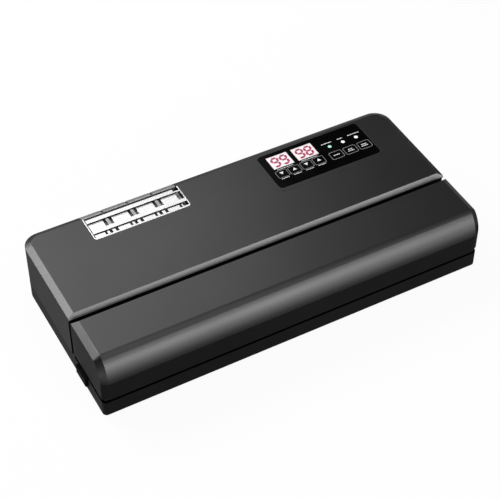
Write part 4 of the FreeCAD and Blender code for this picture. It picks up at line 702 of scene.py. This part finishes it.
def function_key(node, rows):
    """Rows of dashes, given by their lengths."""
    key_outline(node, *FUNCTION_KEY)
    centre, _ = middle(node)
    marks = Print(top_of(node) + LIFT)
    for i, length in enumerate(rows):
        marks.words(centre.x, centre.y + ((len(rows) - 1) / 2 - i) * MARK_PITCH, length, MARK_W)
    marks.finish("mark_" + node, node, INK)


def panel_print():
    """Dashes behind each pair of arrow keys, in front of each arrow key and behind each light."""
    marks = Print(top_of("control_panel") + LIFT)
    pair_length, pair_gap = PAIR_WORDS
    arrow_length, arrow_gap = ARROW_WORDS
    for left, right in (("key_left_down", "key_left_up"), ("key_right_down", "key_right_up")):
        a, size = middle(left)
        b, _ = middle(right)
        marks.words((a.x + b.x) / 2, a.y + size.y / 2 + pair_gap, pair_length, FINE_W)
        for key in (a, b):
            marks.words(key.x, key.y - size.y / 2 - arrow_gap, arrow_length, FINE_W)
    (x0, y0, _), (x1, y1, _) = extent("indicator_lenses")
    first = x0 + LIGHT_INSET
    last = x1 - LIGHT_INSET
    aside, behind = LIGHT_WORDS_AT
    for i, length in enumerate(LIGHT_WORDS):
        x = first + (last - first) * i / 2
        marks.words(x + aside, (y0 + y1) / 2 + behind, length, LIGHT_WORDS_W)
    marks.finish("panel_print", "base", INK)


display_digits("display_left", "99")
display_digits("display_right", "98")
arrow_key("key_left_down", False)
arrow_key("key_left_up", True)
arrow_key("key_right_down", False)
arrow_key("key_right_up", True)
function_key("key_vacuum", (6.5,))
function_key("key_seal", (4.5, 6.5))
function_key("key_stop", (6.0, 7.5))
panel_print()


# Soft pieces, modelled in place of their plain solids

GASKET_CORNER = 7.0
GASKET_STEPS = 10
# From the outside in, one half of the section: (distance from the middle line, share of the height)
GASKET_HALF = ((3.0, 0.0), (3.0, 0.55), (2.7, 0.82), (2.0, 0.97), (1.3, 0.98), (0.6, 0.90))
GASKET_HOLLOW = 0.87


def swept_ring(name, node, body, slot, profile, corner):
    """Closed strip round a rounded rectangle; the profile gives (outward, height) from its middle line."""
    (x0, y0, _), (x1, y1, _) = extent(node)
    width = 2 * max(u for u, _ in profile)
    cx = (x0 + x1) / 2
    cy = (y0 + y1) / 2
    dx = (x1 - x0) / 2 - width / 2
    dy = (y1 - y0) / 2 - width / 2
    verts = []
    faces = []
    for u, z in profile:
        outline = round_rect(cx, cy, dx + u, dy + u, corner + u, GASKET_STEPS)
        verts += [(x, y, z) for x, y in outline]
    count = len(outline)
    for k in range(len(profile)):
        band(faces, loop(k, count), loop((k + 1) % len(profile), count))
    ring = mesh_piece(name, body, LOOKS[slot], verts, faces, smooth=True)
    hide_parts(node)


def gasket_profile(seat, crown):
    """Two low ribs with a hollow between them, from the seat to the crown."""
    rise = crown - seat
    half = [(-u, seat + share * rise) for u, share in GASKET_HALF]
    return half + [(0.0, seat + GASKET_HOLLOW * rise)] + [(-u, z) for u, z in half[::-1]]


(_, _, bottom), (_, _, top) = extent("lower_gasket")
swept_ring("foam_lower", "lower_gasket", "base", "gasket_rubber", gasket_profile(bottom, top), GASKET_CORNER)
(_, _, bottom), (_, _, top) = extent("upper_gasket")
swept_ring("foam_upper", "upper_gasket", "lid", "gasket_rubber", gasket_profile(top, bottom), GASKET_CORNER)


def extruded(name, body, look, section, stations):
    """Section of (y, z) points carried along x; each station is (x, scale about the section's top middle)."""
    mid_y = (min(y for y, _ in section) + max(y for y, _ in section)) / 2
    top_z = max(z for _, z in section)
    verts = []
    faces = []
    count = len(section)
    for x, scale in stations:
        verts += [(x, mid_y + (y - mid_y) * scale, top_z + (z - top_z) * scale) for y, z in section]
    for k in range(len(stations) - 1):
        band(faces, loop(k, count), loop(k + 1, count))
    faces.append(list(loop(0, count)))
    faces.append(list(loop(len(stations) - 1, count))[::-1])
    return mesh_piece(name, body, look, verts, faces, smooth=True)


PAD_EDGE = [(0.0, 0.9), (0.25, 0.35)]   # round of the pad's lower edges: inward, height
PAD_SHOULDER = 0.7          # from the pad's side to its ribs
PAD_STEP = 0.12             # height of the front shoulder
PAD_RIBS = 3
PAD_RIB_STEPS = 12
PAD_RIB_ROOT = 0.02
PAD_RIB_RISE = 0.28
PAD_ENDS = ((0.0, 0.86), (0.3, 0.95), (1.0, 1.0))       # distance from the end, and scale there
PAD_STEPS = 40


def press_pad():
    """Silicone strip with three fine ribs on the face that presses the bag."""
    (x0, y0, z0), (x1, y1, z1) = extent("press_strip")
    section = [(y0, z1)]
    section += [(y0 + inward, z0 + height) for inward, height in PAD_EDGE]
    section.append((y0 + PAD_SHOULDER, z0 + PAD_STEP))
    wide = y1 - y0 - 2 * PAD_SHOULDER
    for i in range(PAD_RIB_STEPS + 1):
        wave = 0.5 + 0.5 * math.cos(2 * math.pi * PAD_RIBS * i / PAD_RIB_STEPS)
        y = y0 + PAD_SHOULDER + wide * i / PAD_RIB_STEPS
        section.append((y, z0 + PAD_RIB_ROOT + PAD_RIB_RISE * wave))
    section += [(y1 - inward, z0 + height) for inward, height in PAD_EDGE[::-1]]
    section.append((y1, z1))
    taper, _ = PAD_ENDS[-1]
    step = (x1 - x0 - 2 * taper) / PAD_STEPS
    stations = [(x0 + run, scale) for run, scale in PAD_ENDS]
    stations += [(x0 + taper + step * i, 1.0) for i in range(1, PAD_STEPS)]
    stations += [(x1 - run, scale) for run, scale in PAD_ENDS[::-1]]
    strip = extruded("press_pad", "lid", LOOKS["press_silicone"], section, stations)
    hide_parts("press_strip")


press_pad()


def lathe(cx, cy, profile, steps, verts, faces):
    """Adds a turned form to the lists; the profile gives (radius, height)."""
    start = len(verts)
    turns = [2 * math.pi * i / steps for i in range(steps)]
    for r, z in profile:
        verts += [(cx + r * math.cos(a), cy + r * math.sin(a), z) for a in turns]
    for k in range(len(profile) - 1):
        first = start + k * steps
        band(faces, range(first, first + steps), range(first + steps, first + 2 * steps))


FOOT_R = 8.0
FOOT_STEM_R = 3.0
FOOT_EYE = 0.01             # radius left open on the axis
FOOT_STEPS = 40
FOOT_PROFILE = [(FOOT_EYE, 0.7), (2.6, 0.7), (3.0, 0.55), (3.4, 0.15), (3.9, 0.0), (6.3, 0.0), (7.2, 0.15),
                (7.8, 0.6), (FOOT_R, 1.2), (FOOT_R, 2.45), (FOOT_STEM_R, 2.45)]


def foot_pads():
    """Four turned rubber pads with a recessed middle, a soft lower rim and a stem into the base."""
    (x0, y0, _), (x1, y1, top) = extent("rubber_feet")
    profile = FOOT_PROFILE + [(FOOT_STEM_R, top), (FOOT_EYE, top)]
    verts = []
    faces = []
    for cx in (x0 + FOOT_R, x1 - FOOT_R):
        for cy in (y0 + FOOT_R, y1 - FOOT_R):
            lathe(cx, cy, profile, FOOT_STEPS, verts, faces)
    pads = mesh_piece("foot_pads", "base", LOOKS["foot_rubber"], verts, faces, smooth=True)
    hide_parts("rubber_feet")


foot_pads()


TAPE_THICK = 0.1
TAPE_BEND = 0.45            # rounding over the edges of the bar
TAPE_BEND_MID = 0.13
TAPE_SAG = 0.05             # between the edges of the bar and the ribbon
TAPE_SAG_AT = 1.6           # from the edge
TAPE_RIBBON = 1.5           # half the width that lies on the ribbon
TAPE_RIBBON_FALL = 0.01     # from the middle to there
TAPE_STEPS = 150
TAPE_WAVE = 0.12            # of the hems, up and down
TAPE_WAVE_TURN = 0.21       # angle of the wave for each millimetre
TAPE_WAVE_SHIFT = 1.3       # of the rear hem's wave against the front one's
TAPE_TOP = 0.05             # share of the height that counts as the top


def seal_tape():
    """Coated cloth drawn over the ribbon and down both sides of the bar, with slight waves in its hems."""
    (x0, y0, z0), (x1, y1, z1) = extent("heater_tape")
    mid = (y0 + y1) / 2
    front = [(y0, z0), (y0, (z0 + z1) / 2), (y0, z1 - TAPE_BEND),
             (y0 + TAPE_BEND_MID, z1 - TAPE_BEND_MID), (y0 + TAPE_BEND, z1)]
    crown = [(y0 + TAPE_SAG_AT, z1 - TAPE_SAG), (mid - TAPE_RIBBON, z1 - TAPE_RIBBON_FALL), (mid, z1),
             (mid + TAPE_RIBBON, z1 - TAPE_RIBBON_FALL), (y1 - TAPE_SAG_AT, z1 - TAPE_SAG)]
    rear = [(y1 - TAPE_BEND, z1), (y1 - TAPE_BEND_MID, z1 - TAPE_BEND_MID),
            (y1, z1 - TAPE_BEND), (y1, (z0 + z1) / 2), (y1, z0)]
    path = front + crown + rear
    verts = []
    faces = []
    for layer in (0, 1):
        inward = TAPE_THICK * layer
        for k in range(TAPE_STEPS + 1):
            x = x0 + (x1 - x0) * k / TAPE_STEPS
            for y, z in path:
                drop = (z1 - z) / (z1 - z0)
                shift = TAPE_WAVE_SHIFT if y > mid else 0.0
                hem = TAPE_WAVE * drop * math.sin(TAPE_WAVE_TURN * x + shift)
                if drop > TAPE_TOP:
                    side = (mid - y) / max(abs(mid - y), 0.01)
                    verts.append((x, y + side * inward, z + hem))
                else:
                    verts.append((x, y, z + hem - inward))
    count = len(path)
    layer_size = (TAPE_STEPS + 1) * count

    def at(layer, k, i):
        return layer * layer_size + k * count + i

    def patch(*corners):
        faces.append([at(*corner) for corner in corners])

    for k in range(TAPE_STEPS):
        for i in range(count - 1):
            for layer in (0, 1):
                patch((layer, k, i), (layer, k, i + 1), (layer, k + 1, i + 1), (layer, k + 1, i))
        for i in (0, count - 1):
            patch((0, k, i), (0, k + 1, i), (1, k + 1, i), (1, k, i))
    for k in (0, TAPE_STEPS):
        for i in range(count - 1):
            patch((0, k, i), (0, k, i + 1), (1, k, i + 1), (1, k, i))
    tape = mesh_piece("seal_tape", "base", LOOKS["heater_tape"], verts, faces, smooth=True)
    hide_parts("heater_tape")


seal_tape()


# Screws with a cross recess, and the springs behind the release buttons

HEAD_R = 2.9
HEAD_H = 2.0
HEAD_ROUND = 0.8
HEAD_STEPS = 4
RIM_PARTS = 3               # parts of the head's rim for each corner of the cross
SHANK_R = 1.5
TIP_R = 0.7
TIP_L = 0.8
CROSS_ARM = 1.45
CROSS_HALF = 0.36
CROSS_DEPTH = 1.1
CROSS_TAPER = 0.55          # of the recess, from its mouth to its floor
END_NEAR = 0.01             # how near a point is to count as at the end of a screw
HEAD_MORE = 0.1             # how much wider than the shank an end is to count as the head


def islands(obj):
    """Low corner, high corner and points of each unconnected body in a mesh."""
    work = bmesh.new()
    work.from_mesh(obj.data)
    bmesh.ops.remove_doubles(work, verts=work.verts, dist=SAME_CAD_POINT)
    left = set(work.verts)
    found = []
    for seed in work.verts:
        if seed not in left:
            continue
        left.remove(seed)
        isle = [seed]
        for vert in isle:
            for edge in vert.link_edges:
                other = edge.other_vert(vert)
                if other in left:
                    left.remove(other)
                    isle.append(other)
        points = [vert.co / MM for vert in isle]
        found.append((Vector([min(p[i] for p in points) for i in range(3)]),
                      Vector([max(p[i] for p in points) for i in range(3)]), points))
    work.free()
    return found


def cross_outline(scale):
    """Twelve corners of the recess, anticlockwise from the lower corner of the right arm."""
    arm = CROSS_ARM * scale
    half = CROSS_HALF * scale
    points = []
    for c, d in ((1, 0), (0, 1), (-1, 0), (0, -1)):
        for along, across in ((arm, -half), (arm, half), (half, half)):
            points.append((along * c - across * d, along * d + across * c))
    return points


def add_screw(verts, faces, cx, cy, crown, length, down):
    """One pan-head screw; crown is the height of the head's flat, and down is 1 where the shank goes down
    from it or else -1."""
    def ring(points, depth):
        start = len(verts)
        verts.extend((cx + x, cy + y, crown - down * depth) for x, y in points)
        return list(range(start, start + len(points)))

    corners = cross_outline(1.0)
    angles = [math.atan2(y, x) for x, y in corners]
    turns = []
    for i, angle in enumerate(angles):
        step = (angles[(i + 1) % len(angles)] - angle) % (2 * math.pi)
        turns += [angle + step * k / RIM_PARTS for k in range(RIM_PARTS)]

    def circle(r):
        return [(r * math.cos(a), r * math.sin(a)) for a in turns]

    flat_r = HEAD_R - HEAD_ROUND
    mouth = ring(corners, 0)
    floor_ring = ring(cross_outline(CROSS_TAPER), CROSS_DEPTH)
    flat = ring(circle(flat_r), 0)
    for i in range(len(mouth)):
        arc = [flat[(RIM_PARTS * i + k) % len(flat)] for k in range(RIM_PARTS + 1)]
        faces.append([mouth[(i + 1) % len(mouth)], mouth[i]] + arc)
    band(faces, mouth, floor_ring)
    faces.append(floor_ring)
    profile = []
    for k in range(1, HEAD_STEPS + 1):
        a = math.pi / 2 * k / HEAD_STEPS
        profile.append((flat_r + HEAD_ROUND * math.sin(a), HEAD_ROUND * (1 - math.cos(a))))
    profile += [(HEAD_R, HEAD_H), (SHANK_R, HEAD_H), (SHANK_R, length - TIP_L), (TIP_R, length)]
    last = flat
    for r, depth in profile:
        following = ring(circle(r), depth)
        band(faces, last, following)
        last = following
    faces.append(last)


def screw_set(node, body):
    """All screws of a node, each with its head at the end where the plain solid has it."""
    verts = []
    faces = []
    for low, high, points in islands(nodes[node]):
        cx = (low.x + high.x) / 2
        cy = (low.y + high.y) / 2
        low_r = max(math.hypot(p.x - cx, p.y - cy) for p in points if p.z < low.z + END_NEAR)
        if low_r > SHANK_R + HEAD_MORE:
            add_screw(verts, faces, cx, cy, low.z, high.z - low.z, -1)
        else:
            add_screw(verts, faces, cx, cy, high.z, high.z - low.z, 1)
    screws = mesh_piece("cross_" + node, body, LOOKS["screw_steel"], verts, faces)
    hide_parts(node)


screw_set("housing_screws", "base")
screw_set("inner_screws", "base")
screw_set("liner_screws", "lid")


def release_spring(node, turns=6, wire=0.35, steps=24, sides=8):
    """Coil between the post on the base and the button's slide."""
    low, high = (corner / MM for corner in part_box(node))
    cy = (low.y + high.y) / 2
    cz = (low.z + high.z) / 2
    radius = (high.y - low.y) / 2 - wire
    x0 = low.x + wire
    run = high.x - low.x - 2 * wire
    verts = []
    faces = []
    count = turns * steps
    lean = math.atan2(run / turns, 2 * math.pi * radius)
    for k in range(count + 1):
        a = 2 * math.pi * k / steps
        out = Vector((0, math.cos(a), math.sin(a)))
        side = Vector((math.cos(lean), math.sin(lean) * math.sin(a), -math.sin(lean) * math.cos(a)))
        centre = Vector((x0 + run * k / count, cy, cz)) + out * radius
        for i in range(sides):
            b = 2 * math.pi * i / sides
            verts.append(centre + (out * math.cos(b) + side * math.sin(b)) * wire)
    for k in range(count):
        band(faces, loop(k, sides), loop(k + 1, sides))
    faces.append(list(loop(0, sides)))
    faces.append(list(loop(count, sides))[::-1])
    coil = mesh_piece("coil_" + node, None, LOOKS["screw_steel"], verts, faces, smooth=True)
    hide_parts(node)
    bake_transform(coil)


release_spring("button_spring_left")
release_spring("button_spring_right")


# Dust gauze under the louvres of the vent

GAUZE_INSET = 1.6
GAUZE_REAR = 8.0            # from the rear of the vent, where its solid bar is
GAUZE_R = 1.5


def gauze_look():
    """Grey plain weave."""
    look = Look("dust_gauze", Specular_IOR_Level=0.3)
    threads = look.weave(420.0)
    look.colour(look.tint(threads, (0.16, 0.16, 0.165), (0.42, 0.42, 0.43)))
    look.rough(look.spread(threads, 0.75, 0.6, 0.0, 1.0))
    look.bumps(threads, 0.1 * MM, 0.5)
    return look.mat


def vent_gauze():
    """Thin woven sheet on the floor of the vent's recess."""
    (x0, y0, z0), (x1, y1, _) = extent("vent_grille")
    front = y0 + GAUZE_INSET
    rear = y1 - GAUZE_REAR
    gauze = Print(z0 + LIFT)
    gauze.plate(round_rect((x0 + x1) / 2, (front + rear) / 2, (x1 - x0) / 2 - GAUZE_INSET, (rear - front) / 2,
                           GAUZE_R))
    gauze.finish("vent_gauze", "base", gauze_look())


vent_gauze()


# Stage: floor, camera and light; lengths are in metres

FLOOR_WHITE = 0.94          # how much of the floor is plain white to the camera
FLOOR_HALF = 6.0
AIM = Vector((0.0, 0.0, 0.05))
# Softboxes: name, azimuth, elevation, distance, width, height, radiance
LAMPS = (
    ("rear_box", 176, 47, 1.5, 1.05, 0.62, 2.05),
    ("front_box", 17, 12, 1.6, 1.4, 0.8, 6.5),
    ("left_box", 215, 41, 1.5, 0.9, 0.8, 9.2),
    ("top_box", 0, 86, 1.6, 1.2, 0.9, 1.25),
    ("brow_box", 15, 54, 1.6, 1.3, 0.8, 1.0),
)
SKY = 0.06
CAMERA_AZIMUTH = -28.797
CAMERA_ELEVATION = 45.327
CAMERA_ROLL = 0.271
CAMERA_TARGET = Vector((-0.00177, 0.00232, 0.03419))
CAMERA_DISTANCE = 1.31962
CAMERA_LENS = 104.05
CAMERA_SENSOR = 36.0


def floor_look():
    """White floor for the camera and in reflections; it keeps the shadow that falls on it."""
    look = Look("floor")
    tree = look.tree
    out = tree.nodes["Material Output"]
    tree.nodes.remove(look.shader)
    matt = look.add("ShaderNodeBsdfDiffuse")
    look.link(look.tint(look.noise(3.0), (0.80, 0.80, 0.80), (0.82, 0.82, 0.82)), matt.inputs["Color"])
    white = look.add("ShaderNodeEmission")
    white.inputs["Color"].default_value = (1, 1, 1, 1)
    white.inputs["Strength"].default_value = 1.0
    path = look.add("ShaderNodeLightPath")
    seen = look.combine(path.outputs["Is Camera Ray"], path.outputs["Is Glossy Ray"], "MAXIMUM")
    seen = look.combine(seen, path.outputs["Is Transmission Ray"], "MAXIMUM")
    mix = look.add("ShaderNodeMixShader")
    look.link(look.combine(seen, FLOOR_WHITE, "MULTIPLY"), mix.inputs["Fac"])
    look.link(matt.outputs["BSDF"], mix.inputs[1])
    look.link(white.outputs["Emission"], mix.inputs[2])
    look.link(mix.outputs["Shader"], out.inputs["Surface"])
    return look.mat


mesh = bpy.data.meshes.new("floor")
mesh.from_pydata([(sx * FLOOR_HALF, sy * FLOOR_HALF, 0) for sx, sy in ((-1, -1), (1, -1), (1, 1), (-1, 1))],
                 [], [(0, 1, 2, 3)])
floor = bpy.data.objects.new("floor", mesh)
bpy.context.collection.objects.link(floor)
floor.data.materials.append(floor_look())


def toward(azimuth, elevation):
    """Unit vector; azimuth 0 is the front and grows to the right."""
    a = math.radians(azimuth)
    e = math.radians(elevation)
    return Vector((math.sin(a) * math.cos(e), -math.cos(a) * math.cos(e), math.sin(e)))


def softbox(name, azimuth, elevation, distance, width, height, radiance):
    """Rectangular lamp that faces the object."""
    lamp = bpy.data.lights.new(name, "AREA")
    lamp.shape = "RECTANGLE"
    lamp.size = width
    lamp.size_y = height
    lamp.energy = radiance * math.pi * width * height
    obj = bpy.data.objects.new(name, lamp)
    bpy.context.collection.objects.link(obj)
    direction = toward(azimuth, elevation)
    obj.location = AIM + direction * distance
    obj.rotation_euler = direction.to_track_quat("Z", "Y").to_euler()


for setting in LAMPS:
    softbox(*setting)

world = bpy.data.worlds.new("studio")
world.use_nodes = True
sky = world.node_tree.nodes["Background"]
sky.inputs["Color"].default_value = (1, 1, 1, 1)
sky.inputs["Strength"].default_value = SKY
bpy.context.scene.world = world

camera_data = bpy.data.cameras.new("camera")
camera_data.sensor_width = CAMERA_SENSOR
camera_data.lens = CAMERA_LENS
camera = bpy.data.objects.new("camera", camera_data)
bpy.context.collection.objects.link(camera)
back = toward(CAMERA_AZIMUTH, CAMERA_ELEVATION)
level = Vector((math.cos(math.radians(CAMERA_AZIMUTH)), math.sin(math.radians(CAMERA_AZIMUTH)), 0))
upright = back.cross(level)
roll = math.radians(CAMERA_ROLL)
right = level * math.cos(roll) + upright * math.sin(roll)
up = upright * math.cos(roll) - level * math.sin(roll)
turn = Matrix((right, up, back)).transposed().to_4x4()
camera.matrix_world = Matrix.Translation(CAMERA_TARGET + back * CAMERA_DISTANCE) @ turn
bpy.context.scene.camera = camera
bpy.context.scene.view_settings.view_transform = "Standard"
